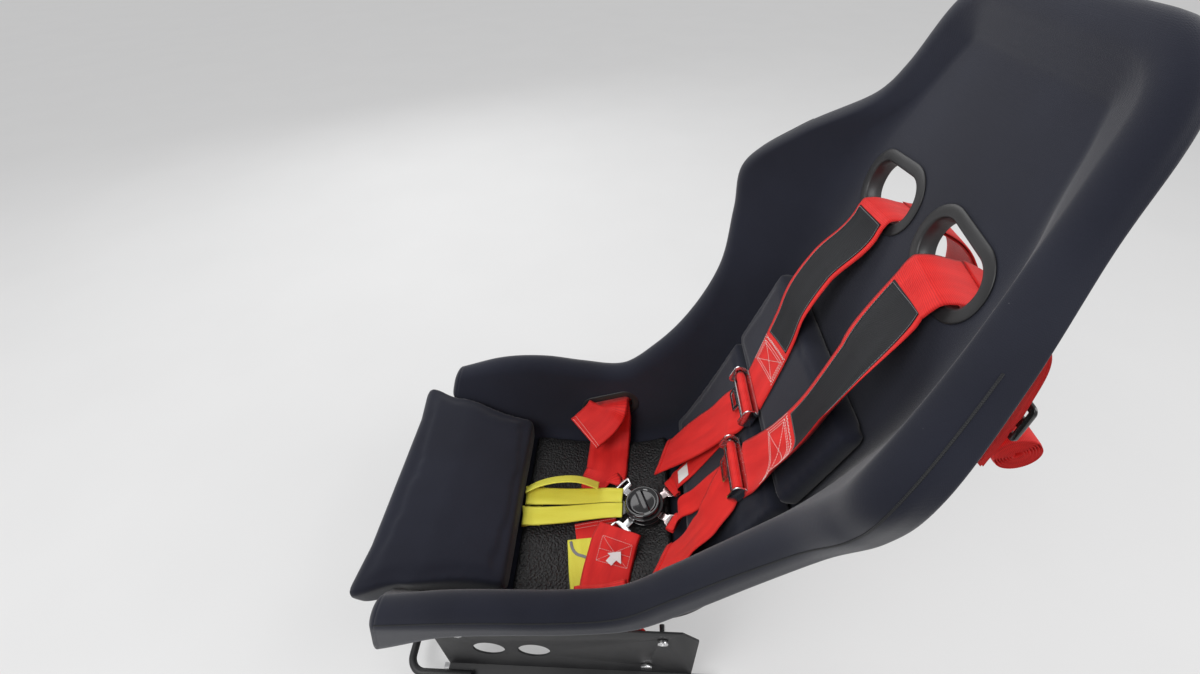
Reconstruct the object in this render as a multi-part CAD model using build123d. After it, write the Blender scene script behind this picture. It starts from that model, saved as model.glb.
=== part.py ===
from build123d import *
from math import asin, atan2, cos, hypot, pi, radians, sin
import os

# Racing bucket seat with its six point harness, on side mounts and slide rails.
# +X is the sitter's left, -Y is the way the seat faces, +Z is up, the floor is z = 0.

# Fan of section planes: every plane holds one axis along X, in front of the sitter
fan_y = -330.0
fan_z = 560.0

# One row per section of the padded inside, from the front lip to the foot of the head:
# y and z of the middle line, wall height, half width of the flat, bend radius,
# half width inside the rim, rim roll radius, depth of the roll outside
section_rows = [
    (-428, 170, 96, 132, 30, 194, 22, 56),
    (-330, 152, 134, 134, 32, 194, 24, 44),
    (-200, 136, 164, 136, 32, 193, 24, 40),
    (-90, 130, 178, 136, 32, 188, 24, 40),
    (5, 160, 166, 134, 32, 181, 24, 40),
    (60, 262, 128, 132, 34, 178, 24, 40),
    (102, 370, 98, 130, 38, 182, 24, 38),
    (140, 480, 86, 130, 42, 198, 24, 36),
    (170, 580, 100, 130, 60, 228, 24, 36),
    (192, 665, 116, 128, 66, 243, 22, 36),
    (205, 725, 78, 124, 52, 204, 20, 30),
    (218, 770, 30, 112, 26, 147, 18, 26),
    (230, 812, 20, 100, 18, 126, 18, 26),
]
rows_per_span = 2
bend_chords = 3
roll_chords = 6
head_roll_sides = 12
pad = 10.0
shell_wall = 4.0
clearance = 0.3
head_top_half_width = 124.0
head_rise = 60.0
head_corner_r = 40.0

# Loose cushions
thigh_front_y = -468.0
thigh_rear_y = -262.0
thigh_front_z = 243.0
thigh_rear_z = 197.0
thigh_half_width = 158.0
base_pad_thick = 14.0
back_pad_thick = 34.0
cushion_half_width = 148.0
lumbar_foot_z = 186.0
lumbar_seam_z = 399.0
back_cushion_top_z = 535.0

# Slots and their trims
shoulder_slot_x = 70.0
shoulder_slot_z = 692.0
shoulder_slot_size = (98.0, 50.0)
shoulder_slot_turn = 6.0
lap_slot_ahead = 85.0
lap_slot_z = 213.0
lap_slot_size = (84.0, 26.0)
lap_slot_turn = 18.0
crotch_slot_y = -232.0
crotch_slot_size = (86.0, 26.0)
trim_flange = 13.0
trim_stand = 3.0
trim_wall = 3.0

# Mounts: brackets on the shell's sides and slide rails on the floor
bracket_x = 205.0
bracket_wall = 3.0
bracket_front_y = -365.0
bracket_rear_y = 15.0
bracket_top_z = 188.0
side_hole_pitch = 290.0
side_hole_z = 162.0
side_hole_front_y = -325.0
side_bolt_r = 4.0
bolt_play = 0.25
bolt_head_r = 7.5
bolt_head_thick = 5.0
boss_r = 15.0
boss_depth = 18.0
bracket_foot = 34.0
bracket_chamfer = 24.0
window_r = 24.0
window_start = 75.0
window_pitch = 68.0
window_z = 100.0
rail_height = 22.0
rail_width = 40.0
rail_wall = 2.5
rail_lip = 9.0
rail_length = 420.0
rail_middle_y = -165.0
floor_hole_inset = 25.0
floor_hole_r = 4.25
upper_rail_length = 380.0
upper_rail_wall = 4.0
upper_rail_neck = 14.0
slide_gap = 0.5
bar_r = 6.0
bar_reach = 60.0

# Harness
belt_width = 75.0
belt_thick = 3.0
strap_width = 50.0
crotch_width = 36.0
crotch_apart = 37.0
buckle_x = 6.0
buckle_y = -52.0
buckle_r = 32.5
buckle_height = 22.0
buckle_seat = 6.4
cap_height = 12.0
groove_depth = 9.0
tongue_thick = 2.5
tongue_neck = 12.0
tongue_slot = 7.0
tongue_head = 18.0
belt_bolt_r = 5.55
belt_bolt_play = 0.3
plate_thick = 3.0
lap_eye_ahead = 20.0
lap_eye_z = 62.0
crotch_eye_z = 28.0
slide_size = (92.0, 52.0)
slide_thick = 4.0
roll_r = 27.0

# Places that follow from those sizes
side_hole_rear_y = side_hole_front_y + side_hole_pitch
lap_slot_y = side_hole_rear_y - lap_slot_ahead
lap_eye_y = side_hole_rear_y - lap_eye_ahead
floor_hole_pitch = rail_length - 2 * floor_hole_inset
side_hole_r = side_bolt_r + bolt_play
bolt_hole_r = belt_bolt_r + belt_bolt_play

made = {}


def keep(name, shape):
    "Store one named piece."
    made[name] = shape
    return shape


def rows_between(table, parts):
    "The table with more rows between each pair, on smooth curves through its values."
    rows = []
    last = len(table) - 1
    for i in range(last):
        a, b, c, d = [table[min(max(k, 0), last)] for k in (i - 1, i, i + 1, i + 2)]
        for step in range(parts):
            t = step / parts
            rows.append(tuple(
                q + (r - p) * t / 2 + (2 * p - 5 * q + 4 * r - s) * t**2 / 2 + (3 * q - 3 * r + s - p) * t**3 / 2
                for p, q, r, s in zip(a, b, c, d)))
    rows.append(table[-1])
    return rows


fine_rows = rows_between(section_rows, rows_per_span)


def blend_rows(low, high, part):
    return tuple(a + (b - a) * part for a, b in zip(low, high))


def at_height(z):
    "Row on the back at a height."
    back = [row for row in fine_rows if row[0] >= 0]
    for low, high in zip(back, back[1:]):
        if z <= high[1]:
            return blend_rows(low, high, (z - low[1]) / (high[1] - low[1]))
    return back[-1]


def at_depth(y):
    "Row on the base at a distance from front to back."
    for front, back in zip(fine_rows, fine_rows[1:]):
        if y <= back[0]:
            return blend_rows(front, back, (y - front[0]) / (back[0] - front[0]))
    return fine_rows[-1]


def through_point(y, z):
    "Row whose section plane passes through a point, and the point's distance from the fan axis."
    way = atan2(z - fan_z, y - fan_y)
    for front, back in zip(fine_rows, fine_rows[1:]):
        start = atan2(front[1] - fan_z, front[0] - fan_y)
        end = atan2(back[1] - fan_z, back[0] - fan_y)
        if start <= way <= end:
            return blend_rows(front, back, (way - start) / (end - start)), hypot(y - fan_y, z - fan_z)
    return fine_rows[-1], hypot(y - fan_y, z - fan_z)


def fan_plane(row):
    "Section plane through the fan axis and the row's middle point; its y runs away from the axis."
    reach = hypot(row[0] - fan_y, row[1] - fan_z)
    out_y = (row[0] - fan_y) / reach
    out_z = (row[1] - fan_z) / reach
    return Plane(origin=(0, fan_y, fan_z), x_dir=(1, 0, 0), z_dir=(0, -out_z, out_y)), reach


def arc_points(centre, radius, start, end, chords):
    "Points along an arc after its start, one for each chord."
    angles = [start + (end - start) * i / chords for i in range(1, chords + 1)]
    return [(centre[0] + radius * cos(angle), centre[1] + radius * sin(angle)) for angle in angles]


def half_path(row, inset):
    "Corners of half a section, moved outward by inset: flat end, bend, wall, rim roll, drop."
    _, reach = fan_plane(row)
    tall, flat, bend, wide, lip, drop = row[2:]
    lip_x = wide + lip
    lip_r = reach - tall + lip
    bend_r = reach - bend
    span = hypot(lip_x - flat, lip_r - bend_r)
    lean = atan2(lip_r - bend_r, lip_x - flat) - asin((bend + lip) / span)
    turn = (-sin(lean), cos(lean))
    lip_in = lip - inset
    start = atan2(-turn[1], -turn[0])
    start = start + 2 * pi if start < 0 else start
    path = [(flat, reach + inset)]
    path += arc_points((flat, bend_r), bend + inset, pi / 2, atan2(turn[1], turn[0]), bend_chords)
    path.append((lip_x - lip_in * turn[0], lip_r - lip_in * turn[1]))
    path += arc_points((lip_x, lip_r), lip_in, start, 2 * pi, roll_chords)
    path.append((lip_x + lip_in, lip_r + drop - lip))
    return path


def mirrored(path):
    return [(-x, y) for x, y in reversed(path)]


def band_section(row, inner, outer, side=0):
    "Closed band between two insets: a whole U, or the half on one side."
    plane, _ = fan_plane(row)
    near = half_path(row, inner)
    far = half_path(row, outer)
    if side < 0:
        near, far = mirrored(near), mirrored(far)
    elif side == 0:
        near, far = mirrored(near) + near, mirrored(far) + far
    return plane * make_face(Polyline(*near, *reversed(far), close=True))


def filled_section(row, inset):
    "Section of the space between the walls, its outline moved outward by inset."
    plane, _ = fan_plane(row)
    path = half_path(row, inset)[:bend_chords + 2]
    return plane * make_face(Polyline(*mirrored(path), *path, close=True))


def block_over(rows, half_width, lift, sink=12.0):
    "Block through the sections of some rows, from below their flat up to a lift."
    sections = []
    for row in rows:
        plane, reach = fan_plane(row)
        sections.append(plane * Pos(0, reach + (sink - lift) / 2) * Rectangle(2 * half_width, lift + sink))
    return loft(sections, ruled=True)


def lifted(x, row, lift):
    "Point over the middle of a section, lifted toward the fan axis."
    _, reach = fan_plane(row)
    share = (reach - lift) / reach
    return Vector(x, fan_y + (row[0] - fan_y) * share, fan_z + (row[1] - fan_z) * share)


def back_point(x, z, lift):
    return lifted(x, at_height(z), lift)


def base_plane(x, y, lift):
    "Plane on the base's slope at a distance from front to back, lifted square to it."
    low = lifted(x, at_depth(y - 8), 0)
    high = lifted(x, at_depth(y + 8), 0)
    slope = (high - low).normalized()
    up = Vector(0, -slope.Z, slope.Y)
    return Plane(origin=(low + high) / 2 + up * lift, x_dir=(1, 0, 0), z_dir=up)


def strip(points, width, thick, across):
    "Webbing band through points, its width held along a given way, or along one for each point."
    spots = [Vector(*p) for p in points]
    ways = across if isinstance(across, list) else [across] * len(spots)
    sections = []
    for i, spot in enumerate(spots):
        before = spots[max(i - 1, 0)]
        after = spots[min(i + 1, len(spots) - 1)]
        along = (after - before).normalized()
        side = Vector(*ways[i])
        side = (side - along * side.dot(along)).normalized()
        sections.append(Plane(origin=spot, x_dir=side, z_dir=along) * Rectangle(width, thick))
    return loft(sections, ruled=True)


def level_strip(points, width, thick):
    "Webbing band through points that share one x, cut from a flat outline."
    spots = [Vector(*p) for p in points]
    upper = []
    lower = []
    for i, spot in enumerate(spots):
        along = (spots[min(i + 1, len(spots) - 1)] - spots[max(i - 1, 0)]).normalized()
        out = Vector(1, 0, 0).cross(along) * (thick / 2)
        upper.append(spot + out)
        lower.insert(0, spot - out)
    face = make_face(Polyline(*upper, *lower, close=True))
    return extrude(face, width / 2, dir=(1, 0, 0), both=True)


# Head: the flat shield above the last section, with a roll round its edge
head_row = fine_rows[-1]
head_lean = atan2(head_row[0] - section_rows[-2][0], head_row[1] - section_rows[-2][1])
head_up = Vector(0, sin(head_lean), cos(head_lean))
head_out = Vector(0, -head_up.Z, head_up.Y)
head_foot = head_row[5] + head_row[6]
head_roll_r = head_row[6]
head_plane = Plane(origin=(0, head_row[0], head_row[1]), x_dir=(1, 0, 0), z_dir=head_out)
roll_plane = head_plane.offset(head_row[6] - head_row[2])
head_line = FilletPolyline(
    (head_foot, 0), (head_top_half_width, head_rise), (-head_top_half_width, head_rise), (-head_foot, 0),
    radius=head_corner_r)
head_face = make_face(Curve([head_line, Line((-head_foot, 0), (head_foot, 0))]))
roll_path = roll_plane * head_line


def head_tube(radius):
    start = roll_path @ 0
    return sweep(Plane(origin=start, z_dir=roll_path % 0) * RegularPolygon(radius, head_roll_sides), path=roll_path)


keep("head_roll", head_tube(head_roll_r))
head_cut = head_tube(head_roll_r + clearance)
head_start, _ = fan_plane(head_row)
above_head = head_start * Pos(0, 500, 250) * Box(800, 1000, 500)
head_share = -(head_start.y_dir.dot(head_out))


def head_shield(near, far):
    "Layer of the head between two depths behind its front."
    layer = extrude(head_plane.offset(-far * head_share) * head_face, (far - near) * head_share)
    return (layer & above_head) - head_cut


# Shell: one moulded wall with rolled rims and the shield of the head
shell = loft([band_section(row, pad + clearance, pad + clearance + shell_wall) for row in fine_rows], ruled=True)
plain_shell = loft([filled_section(row, pad + clearance + shell_wall / 2) for row in fine_rows[:11]], ruled=True)
keep("shell", shell)

# Side upholstery over the walls and round the rims
for name, side in (("bolster_left", 1), ("bolster_right", -1)):
    keep(name, loft([band_section(row, 0, pad, side) for row in fine_rows], ruled=True))

# Middle upholstery of the base, back and head
middle_sections = []
for row in fine_rows:
    plane, reach = fan_plane(row)
    middle_sections.append(plane * Pos(0, reach + pad / 2) * Rectangle(2 * (row[3] - clearance), pad))
keep("middle_cover", loft(middle_sections, ruled=True))
made["middle_cover"] += head_shield(0, pad)
made["shell"] += head_shield(pad + clearance, pad + clearance + shell_wall)
for node in ("shell", "bolster_left", "bolster_right"):
    made[node] -= head_cut

# Slots for the belts
slot_row = at_height(shoulder_slot_z)
slot_low = at_height(shoulder_slot_z - 25)
slot_high = at_height(shoulder_slot_z + 25)
slot_lean = atan2(slot_high[0] - slot_low[0], slot_high[1] - slot_low[1])
crotch_row = at_depth(crotch_slot_y)


def shoulder_slot_plane(side):
    up = Vector(0, sin(slot_lean), cos(slot_lean))
    out = Vector(0, -up.Z, up.Y)
    turn = radians(shoulder_slot_turn) * -side
    along = Vector(1, 0, 0) * cos(turn) + up * sin(turn)
    return Plane(origin=(side * shoulder_slot_x, slot_row[0], slot_row[1]), x_dir=along, z_dir=out)


def lap_slot_plane(side):
    "Plane on the side wall, its x along the slot, rising to the rear, and its z toward the sitter."
    row, reach = through_point(lap_slot_y, lap_slot_z)
    path = half_path(row, 0)
    foot, top = path[bend_chords:bend_chords + 2]
    x = foot[0] + (top[0] - foot[0]) * (foot[1] - reach) / (foot[1] - top[1])
    wall = fan_plane(row)[0]
    rise = wall.from_local_coords(Vector(*top, 0)) - wall.from_local_coords(Vector(*foot, 0))
    rise = Vector(side * rise.X, rise.Y, rise.Z)
    along = Vector(0, cos(radians(lap_slot_turn)), sin(radians(lap_slot_turn)))
    inward = rise.cross(along).normalized()
    inward = inward if inward.X * side < 0 else -inward
    return Plane(origin=(side * x, lap_slot_y, lap_slot_z), x_dir=along, z_dir=inward)


crotch_plane = base_plane(0, crotch_slot_y, 0)
slots = [
    ("shoulder_slot_trim_left", shoulder_slot_plane(1), shoulder_slot_size),
    ("shoulder_slot_trim_right", shoulder_slot_plane(-1), shoulder_slot_size),
    ("lap_slot_trim_left", lap_slot_plane(1), lap_slot_size),
    ("lap_slot_trim_right", lap_slot_plane(-1), lap_slot_size),
    ("crotch_slot_trim", crotch_plane, crotch_slot_size),
]
through = pad + clearance + shell_wall


def rounded(size, grow):
    radius = min(size) / 2 - 1 + grow
    return RectangleRounded(size[0] + 2 * grow, size[1] + 2 * grow, radius)


for name, plane, size in slots:
    cut = plane * Pos(0, 0, -through * 3) * extrude(rounded(size, trim_wall + clearance), through * 6)
    seat = plane * extrude(rounded(size, trim_flange + clearance), 2 * through)
    cut_nodes = {"shoulder": ("shell", "middle_cover", "bolster_left", "bolster_right"),
                 "lap": ("shell", "bolster_left" if name.endswith("left") else "bolster_right"),
                 "crotch": ("shell", "middle_cover")}[name.split("_")[0]]
    for node in cut_nodes:
        made[node] -= cut
        if node != "shell":
            made[node] -= seat
    collar = Pos(0, 0, -through - 2) * extrude(rounded(size, trim_wall), through + 2 + trim_stand)
    flange = Pos(0, 0, clearance) * extrude(rounded(size, trim_flange), trim_stand - clearance)
    hole = Pos(0, 0, -through * 2) * extrude(rounded(size, 0), through * 4)
    keep(name, plane * (collar + flange - hole))

# Loose cushions, trimmed by the inside of the upholstery
cavity = loft([filled_section(row, -clearance) for row in fine_rows[:20]], ruled=True)
nose_y = section_rows[0][0] - 3
thigh_outline = [
    (thigh_rear_y, 110),
    (thigh_rear_y, thigh_rear_z),
    (-372, 233),
    (thigh_front_y + 14, thigh_front_z),
    (thigh_front_y, thigh_front_z - 14),
    (thigh_front_y + 8, 178),
    (nose_y, 167),
    (nose_y, 110),
]
thigh_block = extrude(Plane.YZ * make_face(Polyline(*thigh_outline, close=True)), thigh_half_width, both=True)
nose_plane, nose_reach = fan_plane(section_rows[0])
ahead = nose_plane * Pos(0, nose_reach, -250) * Box(800, 1000, 500)
keep("thigh_cushion", (thigh_block & cavity) + (thigh_block & ahead))
base_rows = [at_depth(y) for y in range(-290, -9, 20)]
behind = Pos(0, thigh_rear_y + clearance + 500, 0) * Box(1000, 1000, 1000)
pad_hole = crotch_plane * Pos(0, 0, -40) * extrude(rounded(crotch_slot_size, trim_flange + 1), 80)
keep("base_pad", (block_over(base_rows, cushion_half_width, base_pad_thick) & cavity & behind) - pad_hole)
lumbar_rows = [at_height(lumbar_foot_z + (lumbar_seam_z - lumbar_foot_z) * i / 8) for i in range(9)]
keep("lumbar_cushion", block_over(lumbar_rows, cushion_half_width, back_pad_thick) & cavity)
upper_rows = [at_height(lumbar_seam_z + 2 + (back_cushion_top_z - lumbar_seam_z) * i / 5) for i in range(6)]
keep("back_cushion", block_over(upper_rows, cushion_half_width, back_pad_thick) & cavity)

# Brackets and rails
rail_x = bracket_x + rail_width / 2
rail_top = rail_height + slide_gap + upper_rail_wall
boss_rows = (side_hole_front_y, side_hole_rear_y)
for name, side in (("left", 1), ("right", -1)):
    outline = make_face(Polyline(
        (bracket_front_y, rail_top), (bracket_rear_y, rail_top), (bracket_rear_y, bracket_top_z - bracket_chamfer),
        (bracket_rear_y - bracket_chamfer, bracket_top_z), (bracket_front_y + bracket_chamfer, bracket_top_z),
        (bracket_front_y, bracket_top_z - bracket_chamfer), close=True))
    plate = extrude(Plane(origin=(side * bracket_x, 0, 0), x_dir=(0, 1, 0), z_dir=(1, 0, 0)) * outline,
                    side * bracket_wall)
    foot = Pos(side * (bracket_x + bracket_foot / 2), (bracket_front_y + bracket_rear_y) / 2,
               rail_top + bracket_wall / 2) * Box(bracket_foot, bracket_rear_y - bracket_front_y, bracket_wall)
    bracket = plate + foot
    for y in boss_rows:
        bracket -= Pos(side * bracket_x, y, side_hole_z) * Rot(0, 90, 0) * Cylinder(side_hole_r, 20)
    for y in (bracket_front_y + window_start, bracket_front_y + window_start + window_pitch):
        bracket -= Pos(side * bracket_x, y, window_z) * Rot(0, 90, 0) * Cylinder(window_r, 20)
    bracket -= Pos(side * bracket_x, lap_eye_y, lap_eye_z) * Rot(0, 90, 0) * Cylinder(bolt_hole_r, 20)
    keep(f"side_bracket_{name}", bracket)
    inner_width = rail_width - 2 * rail_wall
    channel = Rectangle(rail_width, rail_height) - Rectangle(inner_width, rail_height - 2 * rail_wall)
    channel -= Pos(0, rail_height / 2) * Rectangle(rail_width - 2 * rail_lip, 2 * rail_wall + 2)
    rail_plane = Plane(origin=(side * rail_x, rail_middle_y, rail_height / 2), x_dir=(-1, 0, 0), z_dir=(0, 1, 0))
    lower = extrude(rail_plane * channel, rail_length / 2, both=True)
    for y in (rail_middle_y - floor_hole_pitch / 2, rail_middle_y + floor_hole_pitch / 2):
        lower -= Pos(side * rail_x, y, 0) * Cylinder(floor_hole_r, 20)
    keep(f"lower_rail_{name}", lower)
    foot_width = inner_width - 2 * slide_gap
    foot_low = -rail_height / 2 + rail_wall + slide_gap
    foot_high = rail_height / 2 - rail_wall - slide_gap
    deck_low = rail_height / 2 + slide_gap
    tee = Pos(0, (foot_low + foot_high) / 2) * Rectangle(foot_width, foot_high - foot_low)
    tee -= Pos(0, foot_low) * Rectangle(foot_width - 2 * upper_rail_wall, (foot_high - foot_low) * 1.4)
    tee += Pos(0, (foot_high + deck_low) / 2) * Rectangle(upper_rail_neck, deck_low - foot_high + 2)
    tee += Pos(0, deck_low + upper_rail_wall / 2) * Rectangle(bracket_foot, upper_rail_wall)
    keep(f"upper_rail_{name}", extrude(rail_plane * tee, upper_rail_length / 2, both=True))

# Bosses on the shell that meet the brackets, and the bolts that hold them
boss_foot = 150.0
for name, side in (("left", 1), ("right", -1)):
    for place, y in zip(("front", "rear"), boss_rows):
        middle = side * (boss_foot + bracket_x) / 2
        boss = Pos(middle, y, side_hole_z) * Rot(0, 90, 0) * Cylinder(boss_r, bracket_x - boss_foot)
        boss -= Pos(side * bracket_x, y, side_hole_z) * Rot(0, 90, 0) * Cylinder(side_hole_r, 2 * boss_depth)
        made["shell"] += boss - plain_shell
        outward = Plane(origin=(side * (bracket_x + bracket_wall + clearance), y, side_hole_z), z_dir=(side, 0, 0))
        shank_length = boss_depth + bracket_wall
        bolt = Pos(0, 0, bolt_head_thick / 2) * Cylinder(bolt_head_r, bolt_head_thick)
        bolt += Pos(0, 0, -shank_length / 2) * Cylinder(side_bolt_r, shank_length)
        bolt -= Pos(0, 0, bolt_head_thick) * extrude(RegularPolygon(side_bolt_r * 0.8, 6), -bolt_head_thick / 2)
        keep(f"side_bolt_{place}_{name}", outward * bolt)

# Release bar, carried on the brackets' feet in front
bar_z = rail_top + bracket_wall + clearance + bar_r
bar_rear = bracket_front_y + 40
bar_front = bracket_front_y - bar_reach
bar_path = FilletPolyline(
    (rail_x, bar_rear, bar_z), (rail_x, bar_front, bar_z), (-rail_x, bar_front, bar_z), (-rail_x, bar_rear, bar_z),
    radius=25)
keep("release_bar", sweep(Plane(origin=(rail_x, bar_rear, bar_z), z_dir=(0, -1, 0)) * Circle(bar_r), path=bar_path))

# Buckle on the base pad, with its turning cap
buckle_plane = base_plane(buckle_x, buckle_y, base_pad_thick + buckle_seat + buckle_height)
body = Pos(0, 0, -buckle_height / 2) * Cylinder(buckle_r, buckle_height)
groove = Cylinder(buckle_r + 1, tongue_thick + 2 * clearance) - Cylinder(
    buckle_r - groove_depth, tongue_thick + 2 * clearance)
body -= Pos(0, 0, -buckle_height / 2) * groove
keep("buckle_body", buckle_plane * body)
cap = Pos(0, 0, clearance + cap_height / 2) * Cylinder(buckle_r - 3, cap_height)
cap -= Pos(0, 0, clearance + cap_height) * Box(2 * buckle_r, 7, 8)
keep("buckle_cap", buckle_plane * cap)


# Tongues in the buckle's groove: a narrow neck that latches, and a wider head with a slot for the webbing
def tongue(turn, length, width):
    "Flat plate that leaves the buckle's groove at an angle round its axis."
    start = buckle_r - groove_depth + clearance
    head = length - tongue_head
    plate = Pos(start + head / 2 + 1, 0) * Rectangle(head + 2, tongue_neck)
    plate += make_face(Polyline(
        (start + head, -width / 2 + 7), (start + length - 3, -width / 2), (start + length, -width / 2 + 3),
        (start + length, width / 2 - 3), (start + length - 3, width / 2), (start + head, width / 2 - 7), close=True))
    plate -= Pos(start + length - tongue_slot / 2 - 4) * Rectangle(tongue_slot, width - 11)
    level = -buckle_height / 2 - tongue_thick / 2
    return buckle_plane * Rot(0, 0, turn) * Pos(0, 0, level) * extrude(plate, tongue_thick)


def tongue_spot(turn, out, aside, lift):
    "Point in a tongue's own frame: outward from the buckle's axis, aside, and above its plate."
    place = buckle_plane * Rot(0, 0, turn) * Pos(out, aside, -buckle_height / 2 + tongue_thick / 2 + lift)
    return place.position


def tongue_way(turn):
    "Way across a tongue, in space."
    return tongue_spot(turn, 0, 1, 0) - tongue_spot(turn, 0, 0, 0)


tongue_rows = {
    "shoulder_tongue_right": (122, 36, 30),
    "shoulder_tongue_left": (56, 36, 30),
    "lap_tongue_right": (225, 40, 42),
    "lap_tongue_left": (-45, 40, 42),
    "crotch_tongue": (-90, 24, 34),
}
tongue_start = buckle_r - groove_depth
for name, (turn, length, width) in tongue_rows.items():
    keep(name, tongue(turn, length, width))

# Harness belts over the shoulders
over_cushion = back_pad_thick + clearance + belt_thick / 2
frame_lift = over_cushion + belt_thick / 2 + clearance
over_strap = over_cushion + belt_thick + clearance
adjuster_wall = 2.0
adjuster_depth = 30.0
roller_y = 4.0
ear_height = 19.0
ear_apart = belt_width + 5.0
roller_r = 3.0
wrap_r = roller_r + 2 * clearance + belt_thick / 2
roller_lift = adjuster_wall + clearance + belt_thick + clearance + roller_r
tail_lift = adjuster_wall + 2 * clearance + belt_thick / 2
tab_lift = tail_lift + belt_thick / 2 + 5 * clearance
tab_size = (36.0, 18.0)
slot_rise = -shoulder_slot_size[1] / 2 + 6.0
runs = {
    "right": dict(adjuster=(-16, 405), belt=[(-66, 600, 30), (-54, 555, over_cushion + 2), (-45, 520, over_cushion),
                                             (-32, 470, over_cushion), (-18, 411, over_cushion)],
                  lower=[(-14, 398, over_cushion), (-20, 340, over_cushion), (-22, 270, over_cushion),
                         (-22, 215, over_cushion + 1), (-20, lumbar_foot_z - 3, over_cushion + 4)],
                  tail=[(-17, 379, over_strap + 1.8), (-28, 360, over_strap + 2.6), (-44, 326, over_strap + 2),
                        (-64, 262, over_strap + 3), (-84, 196, over_strap + 3)]),
    "left": dict(adjuster=(65, 350), belt=[(80, 600, 30), (84, 555, over_cushion + 2), (84, 520, over_cushion),
                                           (78, 440, over_cushion), (68, 356, over_cushion)],
                 lower=[(62, 343, over_cushion), (54, 310, over_cushion), (44, 262, over_cushion),
                        (38, 215, over_cushion + 1.5), (34, lumbar_foot_z - 3, over_cushion + 5)],
                 tail=[(69, 318, over_strap + 1), (78, 278, over_strap + 1.2), (92, 232, over_strap + 2),
                       (104, 192, over_strap + 3)]),
}


def adjuster(plane):
    "Base plate, two ears that carry the roller, and a lifting tab in front of it."
    base = RectangleRounded(ear_apart + 2 * adjuster_wall, adjuster_depth, 4) - Rectangle(ear_apart - 4, 9)
    frame = extrude(base, adjuster_wall)
    ear = Plane.YZ * Pos(0, ear_height / 2) * RectangleRounded(adjuster_depth, ear_height, 8)
    for side in (1, -1):
        frame += Pos(side * (ear_apart + adjuster_wall) / 2, 0, 0) * extrude(ear, adjuster_wall / 2, both=True)
    frame += Pos(0, roller_y, roller_lift) * Rot(0, 90, 0) * Cylinder(roller_r, ear_apart + adjuster_wall)
    bridge_y = -adjuster_depth / 2 + 2.5
    tab = Pos(0, bridge_y) * Rectangle(ear_apart + adjuster_wall, 5)
    tab += Pos(-12, bridge_y - tab_size[1] / 2) * RectangleRounded(*tab_size, 4)
    tab -= Pos(-12, bridge_y - tab_size[1] / 2 - 1) * Rectangle(tab_size[0] - 12, tab_size[1] - 11)
    return plane * (frame + Pos(0, 0, tab_lift) * extrude(tab, adjuster_wall))


for name, run in runs.items():
    side = 1 if name == "left" else -1
    plane = shoulder_slot_plane(side)
    slot_points = [plane.from_local_coords(Vector(0, slot_rise + v, w)) for v, w in (
        (0, -40), (0, 0), (-2, 5.5), (-9, 8.5), (-22, 10))]
    points = slot_points + [back_point(*spot) for spot in run["belt"]]
    ways = [plane.x_dir] * 4 + [Vector(1, 0, 0)] * (len(points) - 4)
    keep(f"shoulder_belt_{name}", strip(points, belt_width, belt_thick, ways))
    x, z = run["adjuster"]
    low = back_point(x, z - 20, frame_lift)
    high = back_point(x, z + 20, frame_lift)
    up = (high - low).normalized()
    out = Vector(0, -up.Z, up.Y)
    frame_plane = Plane(origin=(low + high) / 2, x_dir=(1, 0, 0), z_dir=out)
    keep(f"adjuster_{name}", adjuster(frame_plane))
    wrap = [(roller_y + wrap_r * cos(radians(a)), roller_lift + wrap_r * sin(radians(a))) for a in range(-80, 161, 48)]
    wrap += [(roller_y - wrap_r - 6, tail_lift + 1), (-adjuster_depth / 2 + 1, tail_lift)]
    tail = [frame_plane.from_local_coords(Vector(0, y, z)) for y, z in wrap]
    tail += [back_point(*spot) for spot in run["tail"]]
    keep(f"shoulder_tail_{name}", strip(tail, belt_width, belt_thick, (1, 0, 0)))
    turn, length, _ = tongue_rows[f"shoulder_tongue_{name}"]
    across = tongue_way(turn)
    across = across if across.X > 0 else -across
    points = [back_point(*spot) for spot in run["lower"]] + [tongue_spot(turn, tongue_start + length - 4, 0, 5)]
    ways = [Vector(1, 0, 0)] * (len(points) - 1) + [across]
    keep(f"lower_strap_{name}", strip(points, strap_width, belt_thick, ways))

# Lap belts: from the end plates on the brackets, through the slots, over the base pad to the tongues
lap_x = bracket_x - clearance - plate_thick - clearance - belt_thick / 2
on_pad = base_pad_thick + clearance + belt_thick / 2
under_tongue = -(buckle_height + tongue_thick + belt_thick) / 2 - clearance
over_tongue = -(buckle_height - tongue_thick - belt_thick) / 2 + clearance
eye_up = Vector(0, lap_slot_y + 14 - lap_eye_y, lap_slot_z - 22 - lap_eye_z).normalized()
lap_rests = {
    "right": ((-150, 0, on_pad + 20), (-126, -2, on_pad + 5), (-98, -4, on_pad + 4), (-66, -6, on_pad + 6)),
    "left": ((150, 0, on_pad + 20), (128, 0, on_pad + 5), (104, 4, on_pad + 1), (80, 9, on_pad + 3)),
}
lap_ends = {"right": (-28, -78), "left": (43, -52)}
for name, side in (("left", 1), ("right", -1)):
    plane = lap_slot_plane(side)
    inner = [plane.from_local_coords(Vector(0, v, w)) for v, w in ((0, -through - 4), (0, 4), (-4, 14))]
    eye = Vector(side * lap_x, lap_eye_y, lap_eye_z)
    rests = [base_plane(x, lap_slot_y + y, lift) for x, y, lift in lap_rests[name]]
    points = [eye + eye_up * 42, eye + eye_up * 118] + inner + [rest.origin for rest in rests]
    points.append(buckle_plane.from_local_coords(Vector(*lap_ends[name], under_tongue)))
    ways = [eye_up.cross(Vector(side, 0, 0)) * side] * 2 + [plane.x_dir] * 3 + [rest.y_dir for rest in rests]
    ways.append(buckle_plane.y_dir * 3 + rests[-1].y_dir)
    keep(f"lap_belt_{name}", strip(points, belt_width, belt_thick, ways))

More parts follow.
